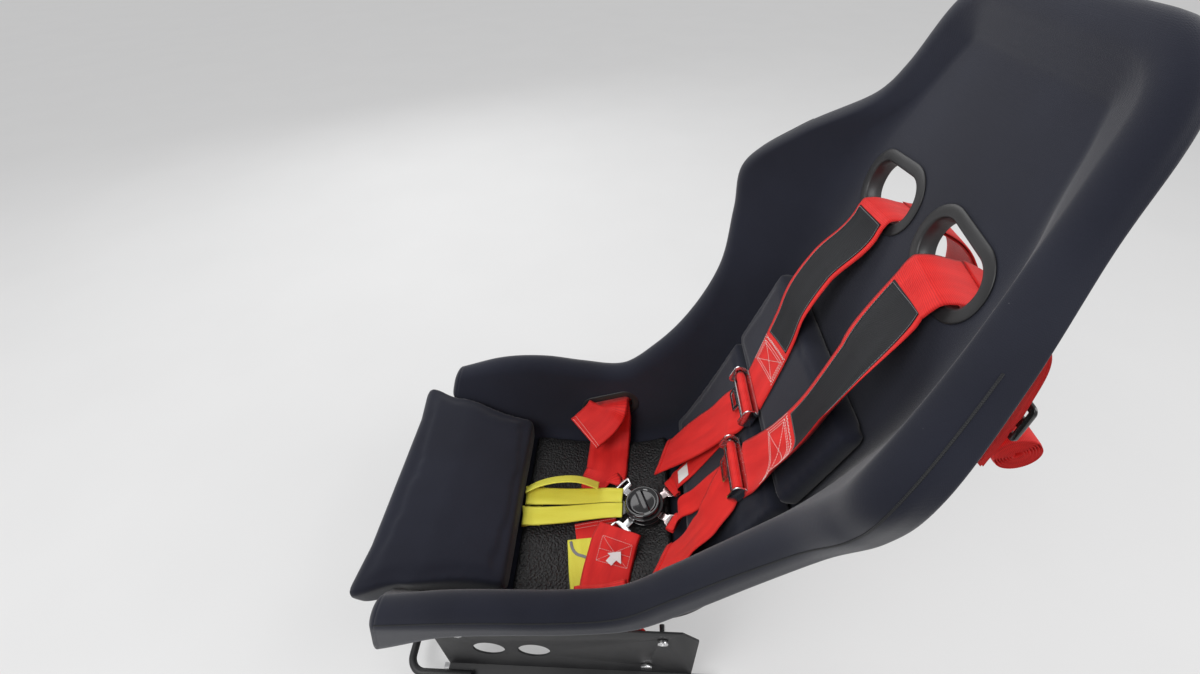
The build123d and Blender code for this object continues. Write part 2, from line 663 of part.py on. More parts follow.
# Loose end of the right lap belt, hanging forward out of the slot over the belt
plane = lap_slot_plane(-1)
hem = base_plane(-133, lap_slot_y - 50, on_pad + 24).origin
tail_points = [plane.from_local_coords(Vector(0, 4.6 + belt_thick + clearance, w)) for w in (4, 13)]
tail_points += [plane.from_local_coords(Vector(-12, -2, 24)), hem]
keep("lap_tail_right", strip(tail_points, belt_width, belt_thick, [plane.x_dir] * 2 + [(0.16, 0.97, 0), (0.37, 0.93, 0)]))


def end_plate(plane, width):
    "Bolt-in plate: a slot for the webbing above, an eye below."
    half = width / 2 + 8
    face = make_face(Polyline((-half, 12), (half, 12), (half, -4), (15, -36), (-15, -36), (-half, -4), close=True))
    face += Pos(0, -36) * Circle(15)
    face -= Pos(0, 3) * Rectangle(width + 4, 6)
    face -= Pos(0, -36) * Circle(bolt_hole_r)
    return extrude(plane * face, plate_thick)


for name, side in (("left", 1), ("right", -1)):
    spot = Vector(side * (bracket_x - clearance), lap_eye_y, lap_eye_z) + eye_up * 36
    inward = Vector(-side, 0, 0)
    keep(f"lap_end_plate_{name}", end_plate(Plane(origin=spot, x_dir=eye_up.cross(inward), z_dir=inward), belt_width))
    grip = plate_thick + bracket_wall + 3 * clearance
    head_low = plate_thick + clearance
    bolt = Pos(0, 0, head_low + bolt_head_thick / 2) * Cylinder(belt_bolt_r + 4, bolt_head_thick)
    bolt += Pos(0, 0, head_low - grip / 2) * Cylinder(belt_bolt_r, grip)
    bolt += Pos(0, 0, head_low - grip - bolt_head_thick / 2) * extrude(
        RegularPolygon(belt_bolt_r + 4, 6), bolt_head_thick / 2, both=True)
    spot = Vector(side * (bracket_x - clearance), lap_eye_y, lap_eye_z)
    keep(f"lap_bolt_{name}", Plane(origin=spot, z_dir=inward) * bolt)

# Crotch straps over the base pad, down through the slot between pad and thigh cushion
crotch_end = -tongue_start - tongue_rows["crotch_tongue"][1] + tongue_slot
for name, x in (("left", crotch_apart / 2), ("right", -crotch_apart / 2)):
    rise = crotch_row[1]
    points = [(x, crotch_slot_y, crotch_eye_z + 42), (x, crotch_slot_y, rise), (x, crotch_slot_y + 2, rise + 14),
              base_plane(x, crotch_slot_y + 14, on_pad + 8).origin, base_plane(x, -200, on_pad + 10).origin]
    points += [buckle_plane.from_local_coords(Vector(x - buckle_x, y, over_tongue)) for y in (-122, crotch_end)]
    keep(f"crotch_strap_{name}", level_strip(points, crotch_width, belt_thick))
    front = crotch_slot_y - belt_thick / 2 - clearance
    plane = Plane(origin=(x, front, crotch_eye_z + 36), x_dir=(1, 0, 0), z_dir=(0, -1, 0))
    half = crotch_apart / 2 - 2
    plate = make_face(Polyline((-half, 12), (half, 12), (half, -4), (12, -36), (-12, -36), (-half, -4), close=True))
    plate += Pos(0, -36) * Circle(12)
    plate -= Pos(0, 3) * Rectangle(crotch_width - 8, 6)
    plate -= Pos(0, -36) * Circle(bolt_hole_r)
    keep(f"crotch_end_plate_{name}", extrude(plane * plate, plate_thick))

# Belt ends behind the seat, each with its slide and rolled spare
for name, side in (("left", 1), ("right", -1)):
    plane = shoulder_slot_plane(side)
    start = plane.from_local_coords(Vector(0, slot_rise, -41))
    x = start.X
    points = [start, (x, start.Y + 32, start.Z - 12), (x, start.Y + 70, start.Z - 52),
              (x, start.Y + 84, start.Z - 120), (x, start.Y + 84, start.Z - 225)]
    ways = [plane.x_dir] + [Vector(1, 0, 0)] * 4
    keep(f"rear_belt_{name}", strip(points, belt_width, 2 * belt_thick, ways))
    slide = RectangleRounded(*slide_size, 8)
    for v in (12, -12):
        slide -= Pos(0, v) * Rectangle(belt_width + 3, 10)
    face_y = start.Y + 84 + belt_thick + clearance
    slide_plane = Plane(origin=(x, face_y, start.Z - 146), x_dir=(1, 0, 0), z_dir=(0, 1, 0))
    keep(f"three_bar_slide_{name}", extrude(slide_plane * slide, slide_thick))
    roll = Pos(x, face_y + roll_r, start.Z - 205) * Rot(0, 90, 0) * Cylinder(roll_r, belt_width)
    keep(f"spare_roll_{name}", roll)

# The origin is the middle of the part's foot print, on the floor
boxes = [shape.bounding_box() for shape in made.values()]
middle_x = (min(box.min.X for box in boxes) + max(box.max.X for box in boxes)) / 2
middle_y = (min(box.min.Y for box in boxes) + max(box.max.Y for box in boxes)) / 2
floor_z = min(box.min.Z for box in boxes)
os.makedirs("parts", exist_ok=True)
for name, shape in made.items():
    export_step(Pos(-middle_x, -middle_y, -floor_z) * shape, f"parts/{name}.step")
print("middle", round(middle_x, 3), round(middle_y, 3), round(floor_z, 3), "nodes", len(made))
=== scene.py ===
import bmesh
import bpy
import math
import numpy as np
from mathutils import Matrix, Vector


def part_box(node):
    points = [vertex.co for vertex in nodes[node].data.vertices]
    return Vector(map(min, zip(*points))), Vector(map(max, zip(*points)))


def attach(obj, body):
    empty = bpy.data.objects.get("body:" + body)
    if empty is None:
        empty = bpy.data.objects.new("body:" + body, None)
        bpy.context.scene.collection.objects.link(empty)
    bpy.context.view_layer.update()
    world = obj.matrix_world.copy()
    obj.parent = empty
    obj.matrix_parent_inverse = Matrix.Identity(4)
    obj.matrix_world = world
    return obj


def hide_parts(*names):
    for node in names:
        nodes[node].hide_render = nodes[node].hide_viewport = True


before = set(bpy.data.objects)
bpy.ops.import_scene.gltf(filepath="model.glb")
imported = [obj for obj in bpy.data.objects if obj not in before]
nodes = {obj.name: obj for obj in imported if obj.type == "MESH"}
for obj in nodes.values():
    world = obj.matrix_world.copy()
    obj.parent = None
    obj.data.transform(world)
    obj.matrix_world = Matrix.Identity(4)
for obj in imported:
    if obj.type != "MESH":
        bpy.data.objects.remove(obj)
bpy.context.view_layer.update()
print("frame loaded,", len(nodes), "pieces")

# Sizes are in millimetres in the seat's drawing frame: x 0 is the middle, z 0 the floor, the seat faces -y.
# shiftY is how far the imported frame's origin lies from the drawing's.
bracketFront = -365.0
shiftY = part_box("side_bracket_left")[0].y * 1000 - bracketFront


def metres(points):
    return (np.asarray(points, float) + [0.0, shiftY, 0.0]) / 1000


def placed(name, data):
    # object in the scene that holds a mesh, a camera or a light
    made = bpy.data.objects.new(name, data)
    bpy.context.scene.collection.objects.link(made)
    return made


def unit(vector):
    vector = np.asarray(vector, float)
    return vector / np.linalg.norm(vector, axis=-1, keepdims=True)


def runLength(points):
    # distance of each point of a line from its first, measured along the line
    return np.r_[0, np.cumsum(np.linalg.norm(np.diff(points, axis=0), axis=1))]


def eased(t):
    return t * t * (3 - 2 * t)


across = np.array([1.0, 0, 0])
sides = (("left", 1), ("right", -1))


def planeBetween(low, high, lift=0.0):
    # origin and the ways across, along and out of a plane through two points, lifted square to it
    along = unit(high - low)
    out = np.array([0, -along[2], along[1]])
    return (low + high) / 2 + out * lift, across, along, out



# Camera at the photograph's place and angle
photoCamera = dict(place=(476.1, -83.8, 956.9), ahead=(-0.75009, -0.05835, -0.65875),
                   right=(-0.05027, 0.99825, -0.03118), lens=15.63, sensor=36.0)
cameraData = bpy.data.cameras.new("photoCamera")
cameraData.lens = photoCamera["lens"]
cameraData.sensor_width = photoCamera["sensor"]
cameraData.clip_start = 0.02
camera = placed("photoCamera", cameraData)
ahead = Vector(photoCamera["ahead"]).normalized()
rightWay = Vector(photoCamera["right"]).normalized()
upWay = rightWay.cross(ahead).normalized()
turn = Matrix((rightWay, upWay, -ahead)).transposed()
camera.matrix_world = Matrix.Translation(Vector(metres([photoCamera["place"]])[0])) @ turn.to_4x4()
bpy.context.scene.camera = camera
print("camera set")

# The bucket's section table. Columns: y and z of the middle line, wall height, half width of the flat,
# bend radius, half width inside the rim, rim roll radius, depth of the roll outside
bucket = dict(fanY=-330.0, fanZ=560.0, pad=10.0, gap=0.3, wall=4.0, headHalf=124.0, headRise=60.0, headCorner=47.0,
              headBlend=26.0, softRows=(126, 220), softTimes=8)
sectionRows = np.array([
    (-428, 170, 96, 132, 30, 194, 22, 92),
    (-330, 152, 134, 134, 32, 194, 24, 49),
    (-200, 136, 164, 136, 32, 193, 24, 40),
    (-90, 130, 178, 136, 32, 188, 24, 40),
    (5, 160, 166, 134, 32, 181, 24, 40),
    (60, 262, 128, 132, 34, 178, 24, 40),
    (102, 370, 98, 130, 38, 182, 24, 38),
    (140, 480, 86, 130, 42, 198, 24, 36),
    (170, 580, 100, 130, 60, 228, 24, 36),
    (192, 665, 116, 128, 66, 243, 22, 36),
    (205, 725, 78, 124, 52, 204, 20, 30),
    (218, 770, 30, 112, 26, 147, 18, 26),
    (230, 812, 20, 100, 18, 126, 18, 26),
], float)
lastRow = len(sectionRows) - 1


def sectionsAt(v):
    # Catmull-Rom curve through the table: row v of the seat, 0 at the nose and lastRow at the foot of the head
    v = np.atleast_1d(np.asarray(v, float))
    i = np.clip(np.floor(v).astype(int), 0, lastRow - 1)
    t = (v - i)[:, None]
    a, b, c, d = [sectionRows[np.clip(i + k, 0, lastRow)] for k in (-1, 0, 1, 2)]
    return b + (c - a) * t / 2 + (2 * a - 5 * b + 4 * c - d) * t**2 / 2 + (3 * b - 3 * c + d - a) * t**3 / 2


def fanOf(rows):
    # distance from the fan axis to the middle line, and the way out along it
    reach = np.hypot(rows[:, 0] - bucket["fanY"], rows[:, 1] - bucket["fanZ"])
    return reach, (rows[:, 0] - bucket["fanY"]) / reach, (rows[:, 1] - bucket["fanZ"]) / reach


def profile(rows, inset, counts):
    # half section moved outward by inset: flat, bend arc, straight wall, rim roll, drop outside; x and distance r
    reach = fanOf(rows)[0][:, None]
    tall, flat, bend, wide, lip, drop = rows[:, 2:].T[:, :, None]
    lipX, lipR, bendR = wide + lip, reach - tall + lip, reach - bend
    span = np.hypot(lipX - flat, lipR - bendR)
    lean = np.arctan2(lipR - bendR, lipX - flat) - np.arcsin((bend + lip) / span)
    turnX, turnR = -np.sin(lean), np.cos(lean)
    start = np.arctan2(turnR, turnX)
    roll = np.mod(start + np.pi, 2 * np.pi)
    t = [np.linspace(0, 1, n + 1)[:-1] for n in counts[:4]] + [np.linspace(0, 1, counts[4] + 1)]
    bent = np.pi / 2 + (start - np.pi / 2) * t[1]
    rolled = roll + (2 * np.pi - roll) * t[3]
    out, inner = bend + inset, lip - inset
    footX, footR = flat + out * turnX, bendR + out * turnR
    topX, topR = lipX - inner * turnX, lipR - inner * turnR
    parts = [
        (flat * t[0], reach + inset),
        (flat + out * np.cos(bent), bendR + out * np.sin(bent)),
        (footX * (1 - t[2]) + topX * t[2], footR * (1 - t[2]) + topR * t[2]),
        (lipX + inner * np.cos(rolled), lipR + inner * np.sin(rolled)),
        (lipX + inner, lipR + (drop - lip) * t[4]),
    ]
    return np.concatenate([np.stack(np.broadcast_arrays(x, r), -1) for x, r in parts], 1)


headRow = sectionsAt(lastRow)
headReach, headOutY, headOutZ = [float(x[0]) for x in fanOf(headRow)]
headFoot = headRow[0, 5] + headRow[0, 6]
headLean = math.atan2(sectionRows[-1, 0] - sectionRows[-2, 0], sectionRows[-1, 1] - sectionRows[-2, 1])
headUp = np.array([0, math.sin(headLean), math.cos(headLean)])
headFront = np.array([0, -headUp[2], headUp[1]])
headMiddle = np.array([0, headRow[0, 0], headRow[0, 1]])
headShare = -(headOutY * headFront[1] + headOutZ * headFront[2])


def headOutline(count):
    # crest line of the head's roll in its own plane: a trapezoid with round top corners, from left foot to right
    half, rise, r = bucket["headHalf"], bucket["headRise"], bucket["headCorner"]
    side = unit([half - headFoot, rise])
    back = r * math.tan((math.pi - math.atan2(side[1], side[0])) / 2)
    first = np.array([half, rise]) - side * back
    centre = np.array([half - back, rise - r])
    sideAngle = math.atan2(first[1] - centre[1], first[0] - centre[0])
    arc = [centre + r * np.array([math.cos(a), math.sin(a)]) for a in np.linspace(sideAngle, math.pi / 2, 24)]
    leg = [np.array([headFoot, 0]) + (first - [headFoot, 0]) * t for t in np.linspace(0, 1, 24)[:-1]]
    top = [np.array([x, rise]) for x in np.linspace(centre[0], 0, 30)[1:]]
    right = np.array(leg + arc + top)
    line = np.concatenate([right, (right * [-1, 1])[::-1][1:]])
    length = runLength(line)
    s = np.linspace(0, length[-1], count)
    crest = np.stack([np.interp(s, length, line[:, k]) for k in (0, 1)], -1)
    along = unit(np.gradient(crest, s, axis=0))
    inward = np.stack([-along[:, 1], along[:, 0]], -1)
    ends = eased(np.clip(np.minimum(s, length[-1] - s) / bucket["headBlend"], 0, 1)[:, None])
    level = np.stack([-np.sign(crest[:, 0]), np.zeros(count)], -1)
    return crest, unit(inward * ends + level * (1 - ends)), ends


def bucketGrid(inset, sideCount=132, headCount=84, counts=(12, 9, 16, 16, 5)):
    # one surface: up the left side, round the head and down the right, from the middle line out over the rim
    rows = sectionsAt(np.linspace(0, lastRow, sideCount))
    _, outY, outZ = fanOf(rows)
    x, r = np.moveaxis(profile(rows, inset, counts), -1, 0)
    left = np.stack([x, bucket["fanY"] + r * outY[:, None], bucket["fanZ"] + r * outZ[:, None]], -1)
    crest, inward, ends = headOutline(headCount)
    last = profile(headRow, inset, counts)[0]
    depth, offset = last[:, 1] - headReach, headFoot - last[:, 0]
    step = np.arange(len(last))[None, :, None]
    flatPart = (crest + inward * offset[counts[0]])[:, None] * np.clip(step / counts[0], 0, 1)
    outPart = crest[:, None] + inward[:, None] * offset[None, :, None]
    inPlane = np.where(step > counts[0], outPart, flatPart)
    depthWay = np.array([0, headOutY, headOutZ]) * (1 - ends) - headFront * headShare * ends
    head = headMiddle + inPlane[:, :, :1] * [1.0, 0, 0] + inPlane[:, :, 1:] * headUp
    head = head + depth[None, :, None] * depthWay[:, None]
    right = (left * [-1, 1, 1])[::-1]
    return np.concatenate([left[:-1], head, right[1:]])


def objectFrom(name, points, faces, uv=None, smooth=True):
    # mesh object from an array of points in millimetres and a list of faces; uv is one pair per point
    mesh = bpy.data.meshes.new(name)
    mesh.from_pydata(metres(points).tolist(), [], [list(map(int, f)) for f in faces])
    mesh.update()
    if uv is not None:
        layer = mesh.uv_layers.new(name="UVMap")
        corner = np.zeros(len(mesh.loops), int)
        mesh.loops.foreach_get("vertex_index", corner)
        layer.data.foreach_set("uv", np.asarray(uv, float)[corner].ravel())
    if smooth:
        mesh.shade_smooth()
    return placed(name, mesh)


def gridFaces(rows, columns, closeRows=False, closeColumns=False):
    r = np.arange(rows if closeRows else rows - 1)
    c = np.arange(columns if closeColumns else columns - 1)
    i, j = [x.ravel() for x in np.meshgrid(r, c, indexing="ij")]
    a, b = i * columns + j, i * columns + (j + 1) % columns
    d, e = (i + 1) % rows * columns + j, (i + 1) % rows * columns + (j + 1) % columns
    return np.stack([a, b, e, d], -1).tolist()


def tidyMesh(made, distance=0.00002, flatAngle=None):
    # merge doubled points, join flat faces where an angle is given, and turn every face outward
    work = bmesh.new()
    work.from_mesh(made.data)
    bmesh.ops.remove_doubles(work, verts=work.verts, dist=distance)
    if flatAngle is None:
        bmesh.ops.dissolve_degenerate(work, edges=work.edges, dist=distance / 4)
    else:
        bmesh.ops.dissolve_limit(work, angle_limit=flatAngle, verts=work.verts, edges=work.edges)
    bmesh.ops.recalc_face_normals(work, faces=work.faces)
    work.to_mesh(made.data)
    work.free()
    made.data.update()
    return made


def copyOf(node):
    # a piece's own mesh, copied from the frame
    return placed(node.replace("_", " ").title().replace(" ", ""), nodes[node].data.copy())


def modify(made, kind, **settings):
    added = made.modifiers.new(kind.lower(), kind)
    for key, value in settings.items():
        setattr(added, key, value)
    return added


def applyModifiers(made):
    depsgraph = bpy.context.evaluated_depsgraph_get()
    baked = bpy.data.meshes.new_from_object(made.evaluated_get(depsgraph))
    made.modifiers.clear()
    old = made.data
    made.data = baked
    baked.name = made.name
    bpy.data.meshes.remove(old)
    return made


def bucketLayer(name, near, far):
    # closed layer between two insets, its outer edge rounded, its nose closed
    front, back = bucketGrid(near), bucketGrid(far)
    first, last = bucket["softRows"]
    for grid in (front, back):
        for _ in range(bucket["softTimes"]):
            # each row round the head moves half way to the mean of its neighbours
            grid[first:last] = (grid[first - 1:last - 1] + 2 * grid[first:last] + grid[first + 1:last + 1]) / 4
    edge = (front[:, -1] + back[:, -1]) / 2
    out = unit(front[:, -1] - front[:, -2])
    halfWay = (front[:, -1] - back[:, -1]) / 2
    radius = np.linalg.norm(halfWay, axis=1)[:, None]
    bend = [edge + halfWay * math.cos(a) + out * radius * math.sin(a) for a in np.linspace(0, math.pi, 8)[1:-1]]
    grid = np.concatenate([front, np.stack(bend, 1), back[:, ::-1]], 1)
    rows, columns = grid.shape[:2]
    faces = gridFaces(rows, columns)
    for i in (0, rows - 1):
        for j in range(columns // 2 - 1):
            k = columns - 1 - j
            faces.append([i * columns + j, i * columns + j + 1, i * columns + k - 1, i * columns + k])
    uv = np.stack(np.meshgrid(runLength(grid[rows // 4]), runLength(grid[:, 20])), -1).reshape(-1, 2) / 1000
    return tidyMesh(objectFrom(name, grid.reshape(-1, 3), faces, uv))


# Places on the seat, by the same rules as its sections. The base ends and the back begins near row 4
fineV = np.linspace(0, lastRow, 1201)
fineRows = sectionsAt(fineV)
onBase = fineV <= 4.2
onBack = fineV >= 3.8


def rowAtDepth(y):
    return float(np.interp(y, fineRows[onBase, 0], fineV[onBase]))


def rowAtHeight(z):
    return float(np.interp(z, fineRows[onBack, 1], fineV[onBack]))


def lifted(x, v, lift):
    # point over the middle line at row v, lifted toward the fan axis
    row = sectionsAt(v)
    reach, outY, outZ = fanOf(row)
    r = reach[0] - lift
    return np.array([x, bucket["fanY"] + r * outY[0], bucket["fanZ"] + r * outZ[0]])


def backPoint(x, z, lift):
    return lifted(x, rowAtHeight(z), lift)


def basePlane(x, y, lift, reach=8):
    # plane on the base's slope, lifted square to it
    return planeBetween(*[lifted(x, rowAtDepth(y + d), 0) for d in (-reach, reach)], lift)


# Belt slots: origin and the ways along, up and out of each. cut is how far the cutters reach, lapShift how far
# those of the lap slots move outward
slotSizes = dict(shoulder=(98.0, 50.0), lap=(84.0, 26.0), crotch=(86.0, 26.0), flange=13.0, stand=3.0, wall=3.0,
                 cut=(-48, 30), lapShift=4.0)
slotPlaces = dict(shoulderX=70.0, shoulderZ=692.0, shoulderTurn=6.0, lapY=-120.0, lapZ=213.0, lapTurn=18.0,
                  crotchY=-232.0)


def shoulderSlot(side):
    low, high = [sectionsAt(rowAtHeight(slotPlaces["shoulderZ"] + d))[0] for d in (-25, 25)]
    middle = sectionsAt(rowAtHeight(slotPlaces["shoulderZ"]))[0]
    lean = math.atan2(high[0] - low[0], high[1] - low[1])
    up = np.array([0, math.sin(lean), math.cos(lean)])
    out = np.array([0, -up[2], up[1]])
    angle = math.radians(slotPlaces["shoulderTurn"]) * -side
    along = np.array([math.cos(angle), 0, 0]) + up * math.sin(angle)
    return np.array([side * slotPlaces["shoulderX"], middle[0], middle[1]]), along, np.cross(out, along), out


def lapSlot(side):
    y, z = slotPlaces["lapY"], slotPlaces["lapZ"]
    way = np.arctan2(fineRows[:, 1] - bucket["fanZ"], fineRows[:, 0] - bucket["fanY"])
    v = float(np.interp(math.atan2(z - bucket["fanZ"], y - bucket["fanY"]), way, fineV))
    row = sectionsAt(v)
    corners = profile(row, 0, (1, 1, 1, 1, 1))[0]
    foot, top = corners[2], corners[3]
    reach = math.hypot(y - bucket["fanY"], z - bucket["fanZ"])
    part = (foot[1] - reach) / (foot[1] - top[1])
    x = foot[0] + (top[0] - foot[0]) * part
    _, outY, outZ = [float(q[0]) for q in fanOf(row)]
    rise = np.array([side * (top[0] - foot[0]), (top[1] - foot[1]) * outY, (top[1] - foot[1]) * outZ])
    angle = math.radians(slotPlaces["lapTurn"])
    along = np.array([0, math.cos(angle), math.sin(angle)])
    inward = unit(np.cross(rise, along))
    inward = inward if inward[0] * side < 0 else -inward
    return np.array([side * x, y, z]), along, np.cross(inward, along), inward


def onPlane(plane, points):
    # points given along, up and out of a plane
    origin, along, up, out = plane
    points = np.asarray(points, float)
    return origin + points[..., :1] * along + points[..., 1:2] * up + points[..., 2:3] * out


def roundedOutline(size, corner, count=8):
    # rounded rectangle, anticlockwise, with the outward way at each point
    w, h = size[0] / 2 - corner, size[1] / 2 - corner
    points, ways = [], []
    for cx, cy, start in ((w, h, 0), (-w, h, 90), (-w, -h, 180), (w, -h, 270)):
        for a in np.radians(np.linspace(start, start + 90, count)):
            way = np.array([math.cos(a), math.sin(a)])
            points.append(np.array([cx, cy]) + way * corner)
            ways.append(way)
    return np.array(points), np.array(ways)


def plate(name, rings):
    # closed slab between two outlines with the same number of points
    n = len(rings[0])
    faces = [[j, (j + 1) % n, n + (j + 1) % n, n + j] for j in range(n)]
    faces += [list(range(n))[::-1], list(range(n, 2 * n))]
    return tidyMesh(objectFrom(name, np.concatenate(rings), faces, smooth=False))


def prism(name, plane, size, corner, low, high):
    outline, _ = roundedOutline(size, corner)
    return plate(name, [onPlane(plane, np.c_[outline, np.full(len(outline), w)]) for w in (low, high)])


slotPlanes = {
    "shoulder_slot_trim_left": (shoulderSlot(1), slotSizes["shoulder"]),
    "shoulder_slot_trim_right": (shoulderSlot(-1), slotSizes["shoulder"]),
    "lap_slot_trim_left": (lapSlot(1), slotSizes["lap"]),
    "lap_slot_trim_right": (lapSlot(-1), slotSizes["lap"]),
    "crotch_slot_trim": (basePlane(0, slotPlaces["crotchY"], 0), slotSizes["crotch"]),
}


def cutSlots(made):
    # holes for the trims' collars, by Boolean, then the cutters go
    grow = slotSizes["wall"] + bucket["gap"]
    cutters = []
    for name, (plane, size) in slotPlanes.items():
        wide = (size[0] + 2 * grow, size[1] + 2 * grow)
        cutter = prism("cutter", plane, wide, min(size) / 2 - 1 + grow, *slotSizes["cut"])
        if "lap" in name:
            side = 1 if name.endswith("left") else -1
            cutter.data.transform(Matrix.Translation((side * slotSizes["lapShift"] / 1000, 0, 0)))
        modify(made, "BOOLEAN", operation="DIFFERENCE", solver="EXACT", object=cutter)
        cutters.append(cutter)
    applyModifiers(made)
    for cutter in cutters:
        bpy.data.objects.remove(cutter)
    made.data.shade_smooth()
    return made


# Materials: an expression on wrapped sockets adds its Math nodes
class Wire:
    def __init__(self, tree, socket):
        self.tree, self.socket = tree, socket

    def join(self, operation, other=None):
        made = self.tree.nodes.new("ShaderNodeMath")
        made.operation = operation
        for socket, value in zip(made.inputs, (self, other)):
            feed(self.tree, socket, value)
        return Wire(self.tree, made.outputs[0])

    def __add__(self, other):
        return self.join("ADD", other)

    def __sub__(self, other):
        return self.join("SUBTRACT", other)

    def __mul__(self, other):
        return self.join("MULTIPLY", other)


def feed(tree, socket, value):
    if isinstance(value, Wire):
        tree.links.new(value.socket, socket)
    elif value is not None:
        socket.default_value = value


class Finish:
    def __init__(self, name, **numbers):
        self.material = bpy.data.materials.new(name)
        self.material.use_nodes = True
        self.tree = self.material.node_tree
        self.shader = self.tree.nodes["Principled BSDF"]
        for key, value in numbers.items():
            self.shader.inputs[key.replace("_", " ")].default_value = value

    def node(self, kind, settings=None, output=0, **sockets):
        # one node: its type, its settings first, then the values or links of its sockets
        made = self.tree.nodes.new("ShaderNode" + kind)
        for key, value in (settings or {}).items():
            if key == "stops":
                while len(made.color_ramp.elements) < len(value):
                    made.color_ramp.elements.new(0.5)
                for element, (place, colour) in zip(made.color_ramp.elements, value):
                    element.position, element.color = place, (*colour, 1)
            else:
                setattr(made, key, value)
        for key, value in sockets.items():
            feed(self.tree, made.inputs[key.replace("_", " ")], value)
        return Wire(self.tree, made.outputs[output])

    def place(self, scale=(1, 1, 1), uv=False):
        return self.node("Mapping", Vector=self.node("TexCoord", output="UV" if uv else "Object"), Scale=scale)

    def noise(self, scale, detail=3.0, where=None):
        return self.node("TexNoise", Vector=where or self.place(), Scale=scale, Detail=detail)

    def cells(self, scale, where, feature="F1", spread=1.0):
        return self.node("TexVoronoi", {"feature": feature}, Vector=where, Scale=scale, Randomness=spread)

    def ramp(self, value, *stops):
        return self.node("ValToRGB", {"stops": stops}, Fac=value)

    def colour(self, socket, value):
        feed(self.tree, socket, value if isinstance(value, Wire) else (*value, 1))

    def mix(self, share, one, two):
        # colours go through Mix, its colour sockets being the seventh and eighth
        made = self.tree.nodes.new("ShaderNodeMix")
        made.data_type = "RGBA"
        feed(self.tree, made.inputs[0], share)
        self.colour(made.inputs[6], one)
        self.colour(made.inputs[7], two)
        return Wire(self.tree, made.outputs[2])

    def level(self, value, low, high, fromLow=0.0, fromHigh=1.0):
        return self.node("MapRange", Value=value, From_Min=fromLow, From_Max=fromHigh, To_Min=low, To_Max=high)

    def finish(self, colour, roughness, height=None, bump=0.3, depth=0.0005):
        inputs = self.shader.inputs
        self.colour(inputs["Base Color"], colour)
        feed(self.tree, inputs["Roughness"], roughness)
        if height is not None:
            feed(self.tree, inputs["Normal"], self.node("Bump", Height=height, Strength=bump, Distance=depth))
        return self.material


def knitMaterial():
    # stretch knit over foam: fine loops, soft sheen, lint
    made = Finish("knit", Sheen_Weight=0.22, Sheen_Roughness=0.45, Specular_IOR_Level=0.25)
    where = made.place()
    loops = made.cells(950.0, where, spread=0.35)
    fuzz = made.noise(2600.0, 2.0, where)
    tone = made.noise(5.5, 4.0, where)
    lint = made.cells(70.0, where)
    speck = made.level(lint, 1.0, 0.0, 0.0, 0.045)
    speck = speck * made.level(made.noise(9.0, 2.0, where), 0.0, 0.55, 0.56, 0.66)
    body = made.ramp(tone + (fuzz - 0.5) * 0.35, (0.3, (0.0095, 0.0105, 0.0185)), (0.7, (0.0165, 0.0185, 0.031)))
    colour = made.mix(speck, body, (0.16, 0.16, 0.17))
    height = loops * -0.8 + fuzz * 0.5 + tone * 0.6
    return made.finish(colour, made.level(fuzz, 0.8, 0.98), height, 0.35, 0.0006)


def vinylMaterial():
    # grained black vinyl: pebbles with fine wrinkles between
    made = Finish("grainedVinyl", Specular_IOR_Level=0.45)
    where = made.place()
    pebbles = made.cells(300.0, where, "SMOOTH_F1", 0.9)
    fine = made.noise(1800.0, 3.0, where)
    tone = made.noise(12.0, 3.0, where)
    colour = made.ramp(tone, (0.3, (0.0085, 0.0085, 0.009)), (0.75, (0.016, 0.016, 0.0165)))
    return made.finish(colour, made.level(pebbles, 0.30, 0.60, 0.0, 0.7), pebbles * -1.0 + fine * 0.12, 1.0, 0.0024)


def webbingMaterial(name, deep, bright, sheen):
    # woven belt: ribs across, warp lines along, uneven dye; the UV map is in metres across and along
    made = Finish(name, Sheen_Weight=sheen, Specular_IOR_Level=0.35)
    across = made.node("SeparateXYZ", Vector=made.node("TexCoord", output="UV"))
    along = Wire(made.tree, across.socket.node.outputs[1])
    ribs = (along * (2 * math.pi / 0.0017)).join("SINE")
    warp = (across * (2 * math.pi / 0.0011)).join("SINE")
    stretched = made.noise(60.0, 3.0, made.place((1.0, 0.18, 1.0), True))
    fuzz = made.noise(900.0, 2.0, made.place(uv=True))
    tone = ribs * 0.12 + warp * 0.05 + stretched * 0.6 + fuzz * 0.25
    colour = made.ramp(tone, (0.22, deep), (0.62, bright))
    return made.finish(colour, made.level(fuzz, 0.5, 0.72), ribs * 0.5 + warp * 0.25 + fuzz * 0.3, 0.45, 0.0004)


def plainMaterial(name, colour, second, roughness, grain=500.0, bump=0.15, depth=0.0002, **numbers):
    # moulded or coated finish: two close tones and a fine grain
    made = Finish(name, **numbers)
    where = made.place()
    tone, fine = made.noise(20.0, 4.0, where), made.noise(grain, 3.0, where)
    base = made.ramp(tone, (0.35, colour), (0.7, second))
    return made.finish(base, made.level(tone + fine * 0.3, *roughness, 0.35, 0.95), fine, bump, depth)


def platedMaterial(name, colour, second, roughness=(0.12, 0.3)):
    # bright plating: faint brushing and wear
    made = Finish(name, Metallic=1.0)
    streak = made.noise(300.0, 3.0, made.place((1.0, 0.08, 1.0)))
    tone = made.noise(35.0, 4.0)
    worn = made.level(streak * 0.6 + tone * 0.4, *roughness, 0.3, 0.7)
    return made.finish(made.ramp(tone, (0.3, colour), (0.75, second)), worn, streak, 0.08, 0.0002)


def cardMaterial():
    made = Finish("cardPaper", Specular_IOR_Level=0.3)
    fibre = made.noise(1400.0, 4.0)
    colour = made.ramp(fibre, (0.3, (0.78, 0.78, 0.77)), (0.7, (0.86, 0.86, 0.85)))
    return made.finish(colour, 0.62, fibre, 0.1, 0.0001)


